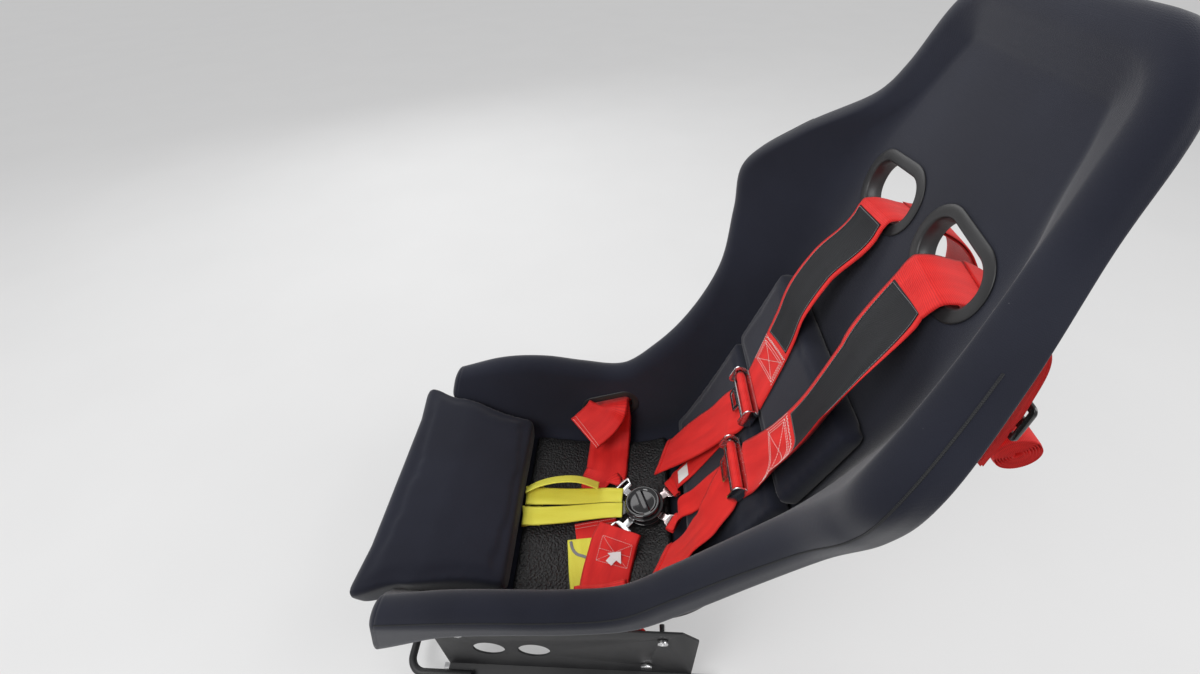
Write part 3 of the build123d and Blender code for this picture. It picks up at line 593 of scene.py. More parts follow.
knit = knitMaterial()
vinyl = vinylMaterial()
redWebbing = webbingMaterial("redWebbing", (0.60, 0.006, 0.007), (0.88, 0.026, 0.020), 0.05)
yellowWebbing = webbingMaterial("yellowWebbing", (0.76, 0.70, 0.05), (0.92, 0.89, 0.12), 0.05)
panelCloth = webbingMaterial("panelCloth", (0.006, 0.0065, 0.008), (0.015, 0.016, 0.019), 0.0)
composite = plainMaterial("composite", (0.012, 0.012, 0.013), (0.019, 0.019, 0.02), (0.34, 0.5), 260.0, 0.35, 0.0004)
trimPlastic = plainMaterial("trimPlastic", (0.018, 0.018, 0.019), (0.030, 0.030, 0.032), (0.36, 0.5), 800.0)
plated = platedMaterial("platedSteel", (0.60, 0.60, 0.61), (0.74, 0.74, 0.74))
railSteel = platedMaterial("railSteel", (0.42, 0.42, 0.43), (0.56, 0.56, 0.56), (0.28, 0.5))
tongueSteel = platedMaterial("tongueSteel", (0.60, 0.50, 0.50), (0.72, 0.62, 0.61), (0.18, 0.34))
gloss = plainMaterial("glossBlack", (0.006, 0.006, 0.007), (0.012, 0.012, 0.013), (0.07, 0.16), 700.0, 0.04,
                      Coat_Weight=0.6)
blackMetal = plainMaterial("blackMetal", (0.010, 0.010, 0.011), (0.018, 0.018, 0.019), (0.16, 0.3), 900.0, 0.06,
                           Coat_Weight=0.4)
powderCoat = plainMaterial("powderCoat", (0.014, 0.014, 0.015), (0.022, 0.022, 0.023), (0.42, 0.58), 700.0, 0.3)
whiteThread = plainMaterial("whiteThread", (0.62, 0.60, 0.57), (0.78, 0.76, 0.73), (0.6, 0.75), 2500.0, 0.3)
redThread = plainMaterial("redThread", (0.30, 0.010, 0.010), (0.44, 0.016, 0.015), (0.6, 0.75), 2500.0, 0.3)
greyThread = plainMaterial("greyThread", (0.20, 0.20, 0.21), (0.30, 0.30, 0.31), (0.6, 0.75), 2500.0, 0.3)
card = cardMaterial()
print("materials made")


def dress(made, material, slot, *replaced, body="seat"):
    # material, record slot (not used), replaced nodes and body of a finished piece
    made.data.materials.clear()
    made.data.materials.append(material)
    if replaced:
        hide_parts(*replaced)
    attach(made, body)
    return made


# Skin and shell
skin = cutSlots(bucketLayer("skin", 0.0, bucket["pad"]))
dress(skin, knit, "upholstery", "bolster_left", "bolster_right", "middle_cover", "head_roll")
outer = bucket["pad"] + bucket["gap"]
hull = cutSlots(bucketLayer("hull", outer, outer + bucket["wall"]))
dress(hull, composite, "composite", "shell")
print("bucket made")


# Rounded ends of the rims: rings that shrink from the last section to its middle while they move forward. The
# first ring lies a little inside the bucket's own end
rimEnd = dict(out=12.0, rings=9, firstColumn=30, closing=12, shrink=0.985, inside=3.0)
surface = bucketGrid(0.0)
for name, row, following in (("left", 0, 1), ("right", -1, -2)):
    loop = surface[row, rimEnd["firstColumn"]:]
    forward = unit(surface[row].mean(axis=0) - surface[following].mean(axis=0))
    loop = np.concatenate([loop, np.linspace(loop[-1], loop[0], rimEnd["closing"])[1:-1]])
    middle = loop.mean(axis=0)
    a = np.linspace(0, math.pi / 2, rimEnd["rings"])[:, None, None]
    rings = middle + (loop - middle) * np.cos(a) + forward * rimEnd["out"] * np.sin(a)
    first = middle + (loop - middle) * rimEnd["shrink"] - forward * rimEnd["inside"]
    rings = np.concatenate([first[None], rings])
    made = objectFrom(f"rimEnd_{name}", rings.reshape(-1, 3), gridFaces(len(rings), len(loop), False, True))
    dress(tidyMesh(made), knit, "upholstery")
print("rim ends made")


# Slot trims: a rounded flange and a duct, the profile carried round the hole. edge and clear are the flange's edge
# radius and its gap to the upholstery; crown and slope shape its top, lip and inner its way into the duct
trim = dict(edge=1.2, clear=0.3, crown=1.5, slope=0.75, lip=0.5, inner=3.0, below=2.0)


def trimRing(name, plane, size):
    outline, ways = roundedOutline(size, min(size) / 2 - 1, 12)
    flange, stand, wall = slotSizes["flange"], slotSizes["stand"], slotSizes["wall"]
    edge, clear, crown, mouth = trim["edge"], trim["clear"], trim["crown"], wall + trim["lip"]
    depth = -(bucket["pad"] + bucket["gap"] + bucket["wall"] + trim["below"])
    turns = [(math.sin(a), 1 - math.cos(a)) for a in np.linspace(0, math.pi / 2, 6)[1:]]
    loop = [(wall, depth), (wall, clear), (flange - edge, clear)]
    loop += [(flange - edge + edge * s, clear + edge * c) for s, c in turns]
    loop += [(flange - (flange - wall) * c * trim["slope"], crown + (stand - crown) * s) for s, c in turns]
    loop += [(mouth, stand)]
    loop += [(mouth * (1 - s), stand - trim["inner"] * c) for s, c in turns]
    loop = np.array(loop + [(0.0, depth)])
    rings = outline[None] + loop[:, None, :1] * ways[None]
    points = np.concatenate([rings, np.repeat(loop[:, None, 1:], len(outline), 1)], -1)
    made = objectFrom(name, onPlane(plane, points).reshape(-1, 3), gridFaces(len(loop), len(outline), True, True))
    return tidyMesh(made)


for name, (plane, size) in slotPlanes.items():
    dress(trimRing(name.replace("_trim", "_ring"), plane, size), trimPlastic, "slot_plastic", name)
print("slot trims made")


# Cushions: the CAD solid's space, drawn in a little, remeshed and blown up as cloth. proud is how far the cloth may
# pass the CAD surface; widen and corner are (first y ahead, length, share) of the thigh cushion's flare
back = dict(voxel=5.0, smooth=14, drawn=6.0, proud=0.2, pressure=4.0, material=knit, slot="upholstery")
cushionSizes = {
    "thigh_cushion": dict(voxel=6.0, smooth=12, drawn=7.0, proud=1.5, pressure=4.0, material=knit, slot="upholstery",
                          widen=(290, 110, 0.12), corner=(400, 66, 0.14), rise=(150, 80), forward=(120, 80, 9)),
    "base_pad": dict(voxel=4.0, smooth=6, drawn=2.4, proud=0.4, pressure=3.0, material=vinyl, slot="grained_vinyl",
                     patches=(-216.0, -248.5)),
    "lumbar_cushion": back,
    "back_cushion": back,
}
patchSizes = dict(size=(118, 25), corner=3, low=4.5, high=13.6)
blowing = dict(steps=20, quality=5, least=0.6, slide=0.3)


def meshPoints(mesh):
    points = np.zeros(len(mesh.vertices) * 3, np.float32)
    mesh.vertices.foreach_get("co", points)
    return points.reshape(-1, 3).astype(float)


def setPoints(mesh, points):
    mesh.vertices.foreach_set("co", points.ravel())
    mesh.update()


def shareOf(value, start, length):
    return np.clip((value - start) / length, 0, 1)


def flared(made, sizes):
    # the front of the thigh cushion widens with height ahead of "widen" and once more ahead of "corner", where its
    # outer parts also move forward
    points = meshPoints(made.data) * 1000 - [0, shiftY, 0]
    height = shareOf(points[:, 2], *sizes["rise"])
    wide, far = [eased(shareOf(-points[:, 1], *sizes[key][:2])) for key in ("widen", "corner")]
    points[:, 0] *= 1 + wide * height * sizes["widen"][2] + far * sizes["corner"][2]
    points[:, 1] -= sizes["forward"][2] * shareOf(np.abs(points[:, 0]), *sizes["forward"][:2]) * far
    setPoints(made.data, metres(points))


def inflate(name, sizes):
    made = tidyMesh(copyOf(name))
    if "patches" in sizes:
        work = bmesh.new()
        work.from_mesh(made.data)
        for y in sizes["patches"]:
            patch = prism("patch", basePlane(0, y, 0), **patchSizes)
            work.from_mesh(patch.data)
            bpy.data.objects.remove(patch)
        work.to_mesh(made.data)
        work.free()
    modify(made, "REMESH", mode="VOXEL", voxel_size=sizes["voxel"] / 1000)
    applyModifiers(made)
    modify(made, "SMOOTH", factor=0.5, iterations=sizes["smooth"])
    modify(made, "DISPLACE", strength=-sizes["drawn"] / 1000, mid_level=0.0)
    applyModifiers(made)
    start = meshPoints(made.data)
    normals = np.array([v.normal for v in made.data.vertices])
    cloth = modify(made, "CLOTH")
    cloth.settings.use_pressure = True
    cloth.settings.uniform_pressure_force = sizes["pressure"]
    cloth.settings.effector_weights.gravity = 0
    cloth.settings.quality = blowing["quality"]
    cloth.point_cache.frame_start, cloth.point_cache.frame_end = 1, blowing["steps"]
    for step in range(blowing["steps"]):
        bpy.context.scene.frame_set(step + 1)
    applyModifiers(made)
    bpy.context.scene.frame_set(1)
    end = meshPoints(made.data)
    # the way to the fan axis is up: share is 1 on faces that look there
    toAxis = metres([(0, bucket["fanY"], bucket["fanZ"])])[0] - start
    toAxis[:, 0] = 0
    facing = np.sum(normals * unit(toAxis), axis=1)
    share = shareOf(facing, -0.2, 0.6)
    # outward the cloth may pass the CAD surface by "proud" at most, and it slides little along it
    step = end - start
    out = np.sum(step * normals, axis=1)
    slide = (step - normals * out[:, None]) * blowing["slide"]
    out = np.clip(out, sizes["drawn"] * blowing["least"] / 1000, (sizes["drawn"] + sizes["proud"] * share) / 1000)
    setPoints(made.data, start + normals * out[:, None] + slide)
    modify(made, "SMOOTH", factor=0.5, iterations=3)
    modify(made, "SUBSURF", levels=1, render_levels=1)
    applyModifiers(made)
    if "widen" in sizes:
        flared(made, sizes)
    made.data.shade_smooth()
    return made


for name, sizes in cushionSizes.items():
    cushion = inflate(name, sizes)
    dress(cushion, sizes["material"], sizes["slot"], name)
print("cushions made")


# Webbing bands: a smooth centre line through chosen points, with the way across at each
def bandLine(points, ways, step=2.5, half=37.5, curl=None):
    # Hermite curve through the points; curl lists (share of the length, rise of the far edge, rise of the near one)
    points = np.asarray(points, float)
    ways = unit(np.asarray(ways, float))
    chord = runLength(points)
    s = np.linspace(0, chord[-1], max(int(chord[-1] / step), 8))
    i = np.clip(np.searchsorted(chord, s, side="right") - 1, 0, len(points) - 2)
    t = ((s - chord[i]) / (chord[i + 1] - chord[i]))[:, None]
    slopes = np.gradient(points, chord, axis=0)
    gap = (chord[i + 1] - chord[i])[:, None]
    centre = (points[i] * (2 * t**3 - 3 * t**2 + 1) + slopes[i] * gap * (t**3 - 2 * t**2 + t)
              + points[i + 1] * (3 * t**2 - 2 * t**3) + slopes[i + 1] * gap * (t**3 - t**2))
    return bandFrom(centre, ways[i] * (1 - eased(t)) + ways[i + 1] * eased(t), step, half, curl)


def bandFrom(centre, over, step, half, curl=None):
    # frame along a centre line; the normal looks toward the sitter
    length = runLength(centre)
    forward = unit(np.gradient(centre, length, axis=0))
    over = unit(over - forward * np.sum(over * forward, axis=1)[:, None])
    normal = np.cross(over, forward)
    toAxis = np.array([0, bucket["fanY"], bucket["fanZ"]]) - centre
    if np.sum((normal * toAxis)[len(centre) // 2:]) < 0:
        normal = -normal
    return dict(centre=centre, across=over, normal=normal, length=length, step=step, half=half, curl=curl)


def onBand(band, along, aside, lift):
    # points on a band: distance along, distance aside and height over its middle; curled edges rise as a square
    along, aside, lift = np.asarray(along, float), np.asarray(aside, float), np.asarray(lift, float)
    spot, over, up = [np.stack([np.interp(along, band["length"], band[key][:, k]) for k in range(3)], -1)
                      for key in ("centre", "across", "normal")]
    if band["curl"] is not None:
        share, far, near = np.array(band["curl"], float).T
        part = along / band["length"][-1]
        rise = np.where(aside > 0, np.interp(part, share, near), np.interp(part, share, far))
        lift = lift + rise * (aside / band["half"])**2
    return spot + over * aside[..., None] + up * lift[..., None]


def webbing(name, band, thick, start=0.0, end=None, width=None, lift=0.0, taper=None):
    # closed strip on a band: a thin rounded section carried along it
    end = band["length"][-1] if end is None else end
    width = 2 * band["half"] if width is None else width
    count = max(int((end - start) / band["step"]), 6)
    s = np.linspace(start, end, count)
    side = np.linspace(-1, 1, 17)
    top = np.stack([side, np.sqrt(np.clip(1 - np.abs(side)**10, 0, 1))], -1)
    loop = np.concatenate([top, (top * [1, -1])[::-1][1:-1]])
    half = np.full(count, width / 2)
    if taper is not None:
        half = half * np.interp(s, [start, end], taper)
    aside = loop[None, :, 0] * half[:, None]
    far = np.repeat(s[:, None], len(loop), 1)
    grid = onBand(band, far, aside, lift + loop[None, :, 1] * thick / 2)
    n, m = grid.shape[:2]
    uv = np.stack([aside + width / 2, far], -1).reshape(-1, 2) / 1000
    faces = gridFaces(n, m, False, True)
    faces += [list(range(m))[::-1], [(n - 1) * m + j for j in range(m)]]
    return tidyMesh(objectFrom(name, grid.reshape(-1, 3), faces, uv))


def stitches(name, band, lines, lift=1.3, thread=whiteThread, slot="upholstery", pitch=3.4, part=0.74, radius=0.36):
    # rows of small thread lumps on a band, along lines given as (along, aside) points
    ring = np.radians(np.arange(0, 360, 60))
    shape = np.array([(x, r * math.cos(a), r * math.sin(a)) for x, r in (
        (-0.5, 0.35), (-0.28, 1.0), (0.28, 1.0), (0.5, 0.35)) for a in ring])
    unitFaces = np.array(gridFaces(4, 6, False, True))
    caps = [list(range(6))[::-1], list(range(18, 24))]
    points, faces = [], []
    for line in lines:
        line = np.asarray(line, float)
        chord = runLength(line)
        for m in np.arange(pitch / 2, chord[-1], pitch):
            ends = np.array([[np.interp(m + d * pitch * part, chord, line[:, k]) for k in (0, 1)] for d in (-0.5, 0.5)])
            a, b = onBand(band, ends[:, 0], ends[:, 1], np.full(2, lift))
            up = onBand(band, ends[:1, 0], ends[:1, 1], np.full(1, lift + 1.0))[0] - a
            size = np.linalg.norm(b - a)
            if size < 0.2:
                continue
            way = (b - a) / size
            side = unit(np.cross(up, way))
            up = np.cross(way, side)
            first = len(points) * 24
            points.append((a + b) / 2 + shape[:, :1] * way * size + radius * (shape[:, 1:2] * side + shape[:, 2:] * up))
            faces += (unitFaces + first).tolist() + [[j + first for j in cap] for cap in caps]
    made = tidyMesh(objectFrom(name, np.concatenate(points), faces), 0.000001)
    return dress(made, thread, slot)


def boxCross(a, b, half, middle=0.0):
    # outline and diagonals of a stitched box
    low, high = middle - half, middle + half
    return [[(a, low), (b, low), (b, high), (a, high), (a, low)], [(a, low), (b, high)], [(a, high), (b, low)]]


def zigzag(along, half, tall=3.6, count=14):
    # slanted stitches in a row across a belt
    aside = np.linspace(-half, half, 2 * count + 1)
    return np.stack([along + tall * (np.arange(2 * count + 1) % 2 - 0.5), aside], -1)


def hemRows(end, half, first=2.5, gap=7.0):
    # two rows of stitches across a belt's sewn end
    return [[(end - back, -half), (end - back, half)] for back in (first, first + gap)]


# Seam along each rim's outer side: a thin strip on one column of the bucket's surface
seam = dict(column=-9, rows=112, step=8.0, width=2.0, thick=1.0)
for name, part in (("left", surface[:seam["rows"]]), ("right", surface[::-1][:seam["rows"]])):
    over = part[:, seam["column"] + 1] - part[:, seam["column"] - 1]
    line = bandFrom(part[:, seam["column"]], over, seam["step"], seam["width"] / 2)
    dress(webbing(f"rimSeam_{name}", line, seam["thick"]), panelCloth, "upholstery")

# onPad is the height of a layer on the base pad, frameLift that of an adjuster's base plate over the back
belt = dict(width=75.0, thick=2.4, thin=2.04, strap=50.0, frameLift=37.6, onPad=15.8)
buckle = dict(x=6.0, y=-52.0, r=32.5, height=22.0, seat=6.4, pad=14.0, groove=9.0, plate=2.5)
bucklePlane = basePlane(buckle["x"], buckle["y"], buckle["pad"] + buckle["seat"] + buckle["height"])
overTongue = -7.95
# tongues that straps go round: angle round the buckle, and length
tongueTurns = dict(right=122, left=56)
tongueReach = dict(shoulder=36, crotch=24)
tongueStart = buckle["r"] - buckle["groove"]


def tongueSpot(turn, out, aside, lift):
    # point by a tongue: distance out from the buckle's middle, distance aside, and height over the tongue's plate
    a = math.radians(turn)
    x, y = out * math.cos(a) - aside * math.sin(a), out * math.sin(a) + aside * math.cos(a)
    return onPlane(bucklePlane, [x, y, -buckle["height"] / 2 + buckle["plate"] / 2 + lift])


def framePlane(x, z):
    # plane of an adjuster's base plate
    return planeBetween(*[backPoint(x, z + d, belt["frameLift"]) for d in (-20, 20)])


def strap(name, line, *replaced, thick=belt["thick"], yellow=False, **sizes):
    # red or yellow webbing along a band, in place of the CAD pieces named
    material, slot = (yellowWebbing, "webbing_yellow") if yellow else (redWebbing, "webbing_red")
    return dress(webbing(name, line, thick, **sizes), material, slot, *replaced)


def asSheet(made, line, held, restsOn, *parts, width=belt["width"]):
    # works out a strap's flat size, its width and the length of its band in metres, and keeps nothing; the pieces sewn
    # to it are not used
    flat = (width / 1000, round(float(line["length"][-1]) / 1000, 3))


# Shoulder belts. belt, lower and tail spots are (x, z, lift) on the back; panel and box are distances along the belt
slotRise = -slotSizes["shoulder"][1] / 2 + 6.0
roller = dict(y=4.0, lift=8.6, wrap=5.1, tail=4.1, front=-14.0)
runs = {
    "right": dict(adjuster=(-16, 405), belt=[(-66, 600, 30), (-54, 555, 37.8), (-45, 520, 35.8), (-32, 470, 35.8),
                                             (-18, 411, 35.8)],
                  curl=[(0, 0, 0), (0.3, -3, 1), (0.6, 4, 3), (0.8, 2, 1), (1, 0, 0)], panel=(54, 243), box=(256, 286),
                  lower=[(-14, 398, 35.8), (-20, 340, 35.8), (-22, 270, 35.8), (-22, 215, 36.8), (-20, 183, 39.8)],
                  tail=[(-17, 379, 40.9), (-25, 352, 42.7), (-38, 297, 44.1), (-60, 225, 46.1)],
                  tailEnd=((-79, -26, 187), (0.97, -0.2, 0.12)), tilt=(0.97, 0, 0.22)),
    "left": dict(adjuster=(65, 350), belt=[(96, 600, 36), (107, 555, 42), (109, 520, 42), (99, 440, 40),
                                           (70, 356, 35.8)],
                 curl=[(0, 0, 0), (0.25, -2, 6), (0.5, 0, 26), (0.72, 0, 26), (0.9, 0, 6), (1, 0, 0)],
                 panel=(70, 262), box=(276, 318),
                 lower=[(62, 343, 35.8), (54, 310, 35.8), (44, 262, 35.8), (38, 215, 37.3), (34, 183, 40.8)],
                 tail=[(74, 318, 42.1), (96, 278, 49.3), (109, 238, 55.1), (113, 204, 57.1)],
                 tailEnd=((115, -37, 199), (0.76, -0.05, 0.65)), tilt=(0.76, 0, 0.65)),
}
sewn = dict(panelWidth=61.0, panelThick=0.8, panelLift=1.5, border=29.0, inset=1.5, edge=34.5, box=31, boxInner=28)
slotRoute = ((0, -40), (0, 0), (-2, 5.5), (-9, 8.5), (-22, 10))
barRoute = ((6, 4.2), (0, 3.2), (-3.6, 0), (0, -3.0), (9, -3.2))
for name, run in runs.items():
    plane = shoulderSlot(1 if name == "left" else -1)
    points = [onPlane(plane, [0, slotRise + v, w]) for v, w in slotRoute] + [backPoint(*spot) for spot in run["belt"]]
    line = bandLine(points, [plane[1]] * 4 + [across] * (len(points) - 4), curl=run["curl"])
    made = strap(f"shoulderBelt_{name}", line, f"shoulder_belt_{name}")
    # sewn panel with a thin pale border
    low, high = run["panel"]
    panel = webbing(f"shoulderPanel_{name}", line, sewn["panelThick"], low, high, sewn["panelWidth"], sewn["panelLift"])
    dress(panel, panelCloth, "slot_plastic")
    rim = boxCross(low + sewn["inset"], high - sewn["inset"], sewn["border"])[:1]
    border = stitches(f"panelBorder_{name}", line, rim, 2.0, greyThread, "plated_steel", 2.6, 0.9, 0.3)
    low, high = run["box"]
    rows = boxCross(low, high, sewn["box"]) + boxCross(low + 3, high - 3, sewn["boxInner"])[:1]
    rows += [[(low - 8, aside), (high + 4, aside)] for aside in (sewn["edge"], -sewn["edge"])]
    boxes = stitches(f"beltBox_{name}", line, rows)
    teeth = stitches(f"beltTeeth_{name}", line, [zigzag(low - 5, 32)], pitch=4.26, part=0.95)
    asSheet(made, line, "stretched", ["back_cushion"], panel, border, boxes, teeth)
    # tail: round the roller, then loose down the back
    turns = np.radians(np.arange(-80, 161, 48))
    wrap = [(0, roller["y"] + roller["wrap"] * math.cos(a), roller["lift"] + roller["wrap"] * math.sin(a))
            for a in turns]
    wrap += [(0, roller["y"] - roller["wrap"] - 6, roller["tail"] + 1), (0, roller["front"], roller["tail"])]
    points = [*onPlane(framePlane(*run["adjuster"]), wrap), *[backPoint(*spot) for spot in run["tail"]]]
    points.append(run["tailEnd"][0])
    ways = [across] * (len(points) - 4) + [across * 0.6 + np.array(run["tilt"]) * 0.4] + [run["tilt"]] * 2
    line = bandLine(points, ways + [run["tailEnd"][1]], 1.4, curl=[(0, 0, 0), (0.3, 0, 0), (0.6, 2, 1), (1, -1, 2)])
    made = strap(f"shoulderTail_{name}", line, f"shoulder_tail_{name}")
    end = line["length"][-1]
    hem = strap(f"tailHem_{name}", line, start=end - 11, end=end, lift=1.6)
    rows = stitches(f"tailStitches_{name}", line, hemRows(end, 35), 2.9, redThread, "webbing_red")
    asSheet(made, line, "laid", ["lumbar_cushion"], hem, rows)
    # lower strap: down to its tongue and round the bar of its slot
    angle = tongueTurns[name]
    way = tongueSpot(angle, 0, 1, 0) - tongueSpot(angle, 0, 0, 0)
    way = way if way[0] > 0 else -way
    bar = tongueStart + tongueReach["shoulder"] - 4
    points = [backPoint(*spot) for spot in run["lower"]] + [tongueSpot(angle, bar + out, 0, w) for out, w in barRoute]
    line = bandLine(points, [across] * len(run["lower"]) + [way] * len(barRoute), 1.4, belt["strap"] / 2)
    made = strap(f"lowerStrap_{name}", line, f"lower_strap_{name}", thick=belt["thin"], taper=(1.0, 0.62))
    labels = []
    if name == "right":
        end = line["length"][-1]
        labels.append(dress(webbing("strapLabel", line, 0.5, end - 88, end - 62, 24, 1.5), card, "upholstery"))
    asSheet(made, line, "laid", ["lumbar_cushion"], *labels, width=belt["strap"] * 0.81)
print("shoulder belts made")


# Lap belts: up from the end plates, through the side slots, over the base pad to the tongues
lap = dict(x=199.9, eyeY=-55.0, eyeZ=62.0, through=18.3)
eyeUp = unit([0, slotPlaces["lapY"] + 14 - lap["eyeY"], slotPlaces["lapZ"] - 22 - lap["eyeZ"]])
# rests are (x, distance behind the slot, lift over the base); end is two places on the buckle's plane
lapRuns = {
    "right": dict(rests=[(-150, 0, 35.8), (-126, -2, 20.8), (-98, -4, 19.8), (-70, -6, 21.0)],
                  end=((-52, -76, -13.0), (-46, -66, -12.4)), curl=[(0, 0, 0), (0.55, 0, 0), (0.75, -1, 2), (1, 0, 0)]),
    "left": dict(rests=[(150, 0, 35.8), (128, 0, 21.4), (104, 4, 19.5), (84, 9, 21.2)],
                 end=((52, -46, overTongue), (37, -40, overTongue)),
                 curl=[(0, 0, 0), (0.55, 0, 0), (0.8, 2, -1), (1, 0, 0)]),
}
for name, run in lapRuns.items():
    side = 1 if name == "left" else -1
    plane = lapSlot(side)
    eye = np.array([side * lap["x"], lap["eyeY"], lap["eyeZ"]])
    rests = [basePlane(x, slotPlaces["lapY"] + y, lift) for x, y, lift in run["rests"]]
    points = [eye + eyeUp * 30, eye + eyeUp * 42, eye + eyeUp * 118]
    points += [onPlane(plane, spot) for spot in ((0, 0, -lap["through"]), (0, 0, 4), (0, -4, 14))]
    points += [rest[0] for rest in rests] + [onPlane(bucklePlane, spot) for spot in run["end"]]
    ways = [np.cross(eyeUp, [side, 0, 0]) * side] * 3 + [plane[1]] * 3 + [rest[2] for rest in rests]
    ways += [unit(bucklePlane[2] * 3 + rests[-1][2])] * 2
    line = bandLine(points, ways, 2.2, curl=run["curl"])
    made = strap(f"lapBelt_{name}", line, f"lap_belt_{name}")
    boxes = []
    if name == "left":
        leftLap, end = line, line["length"][-1]
        rows = boxCross(end - 58, end - 20, 25, 4) + [[(end - 39, -21), (end - 39, 29)]]
        boxes.append(stitches("lapBox_left", line, rows))
    asSheet(made, line, "stretched", ["base_pad"], *boxes)

# Loose end of the right lap belt: out of the slot, turned forward, with a sewn hem
plane = lapSlot(-1)
points = [onPlane(plane, spot) for spot in ((0, 7.9, 4), (0, 7.9, 13), (-12, -2, 24))] + [(-129.0, -168, 186)]
line = bandLine(points, [plane[1]] * 2 + [(0.16, 0.97, 0), (0.24, 0.97, 0)], 1.6,
                curl=[(0, 0, 0), (0.5, 3, 0), (1, 1, 2)])
made = strap("lapTail_right", line, "lap_tail_right")
rows = stitches("lapTailStitches", line, hemRows(line["length"][-1], 35, 2.5, 6.0))
asSheet(made, line, "folded", ["lap_belt_right"], rows)

# Under the left lap belt: a spare layer with a hem, and the yellow tip with its grey trim
points = [basePlane(x, y, belt["onPad"] + 0.2)[0] for x, y in ((146, -116), (116, -120), (78, -129), (22, -142))]
line = bandLine(points, [(0.10, 0.99, 0), (0.14, 0.99, 0), (0.2, 0.98, 0), (0.24, 0.97, 0)])
made = strap("lapUnderlay_left", line, thick=1.8)
rows = stitches("underlayStitches", line, hemRows(line["length"][-1], 35, 3.0, 6.0), 1.0)
asSheet(made, line, "laid", ["base_pad"], rows)
points = [basePlane(x, y, belt["onPad"] - 0.6)[0] for x, y in ((142, -150), (112, -156), (84, -160), (56, -164))]
line = bandLine(points, [(0.12, 0.99, 0)] * 4, half=22.0)
made = strap("yellowTip", line, thick=1.4, yellow=True)
rim = np.array([(84, -16), (70, -13), (62, -7), (57, 4), (52, 12), (40, 15), (10, 16)], float)
points, beside = [onBand(line, rim[:, 0], rim[:, 1] + aside, np.full(len(rim), 1.2)) for aside in (0, 1)]
edge = dress(webbing("tipTrim", bandLine(points, beside - points, 2.0, 2.4), 1.2), greyThread, "plated_steel")
asSheet(made, line, "laid", ["base_pad"], edge, width=44.0)

# Bare arrow-shaped tag on the left lap belt, lifted toward its tip
arrow = np.array([(0, -5), (10, -5), (10, -11), (26, 2), (12, 15), (11, 6), (0, 6)], float)
tagTurn, tagGrow, tagThick = math.radians(28), 1.05, 0.45
c, s = math.cos(tagTurn), math.sin(tagTurn)
spun = arrow @ np.array([(c, s), (-s, c)]) * tagGrow
spots = spun + [leftLap["length"][-1] - 58, -1.0]
rise = 2.4 + 0.12 * np.abs(spun[:, 0])
tag = plate("arrowTag", [onBand(leftLap, spots[:, 0], spots[:, 1], rise + h) for h in (0.0, tagThick)])
dress(tag, card, "upholstery")
print("lap belts made")

# Crotch straps: up through the base, folded back at the thigh cushion and on to the buckle. bend is (y, lift) through
# the slot and back; over is (share of x, shift, y, lift) on the way to the tongue
crotch = dict(width=35.0, apart=37.0, eyeZ=70.0, shift=9.0, loop=28.0,
              bend=[(-232, 6), (-236, 15.6), (-248, 17.2), (-258, 18.6), (-262.5, 21.6), (-258, 24.4), (-246, 25.2)],
              over=[(0.98, 7, -222, 25.8), (0.9, 3, -190, 25.3), (0.82, -2, -155, 26.8)])
end = -tongueStart - tongueReach["crotch"] + 7.0
for name, side in sides:
    x = side * crotch["apart"] / 2
    points = [(x, slotPlaces["crotchY"], crotch["eyeZ"])]
    points += [basePlane(x * 1.02 + crotch["shift"] * min(1, n / 4), y, lift)[0]
               for n, (y, lift) in enumerate(crotch["bend"])]
    points += [basePlane(x * share + shift, y, lift)[0] for share, shift, y, lift in crotch["over"]]
    points.append(onPlane(bucklePlane, [x * 0.78 - 10, end - 20, overTongue + 3.0]))
    points.append(onPlane(bucklePlane, [x * 0.74 - 9, end + 4, overTongue + 1.2]))
    curl = [(0, 0, 0), (0.5, 0, 0), (0.8, 1, 1), (1, 0, 0)]
    line = bandLine(points, [across] * len(points), 2.0, crotch["width"] / 2, curl)
    sizes = dict(thick=belt["thin"], taper=(1.12, 0.78))
    made = strap(f"crotchStrap_{name}", line, f"crotch_strap_{name}", yellow=True, **sizes)
    asSheet(made, line, "folded", ["base_pad", "buckle_body"], width=crotch["width"])
rise = float(sectionsAt(rowAtDepth(slotPlaces["crotchY"]))[0, 1])
points = [(-20, -262, rise + 27), (-27, -244, rise + 33), (-35, -206, rise + 39), (-36, -170, rise + 39),
          (-30, -136, rise + 31)]
line = bandLine(points, [(0.85, 0, 0.53)] * 5, 2.0, crotch["loop"] / 2)
made = strap("crotchLoop", line, thick=2.0, yellow=True)
asSheet(made, line, "laid", ["crotch_strap_right"], width=crotch["loop"])
print("crotch straps made")

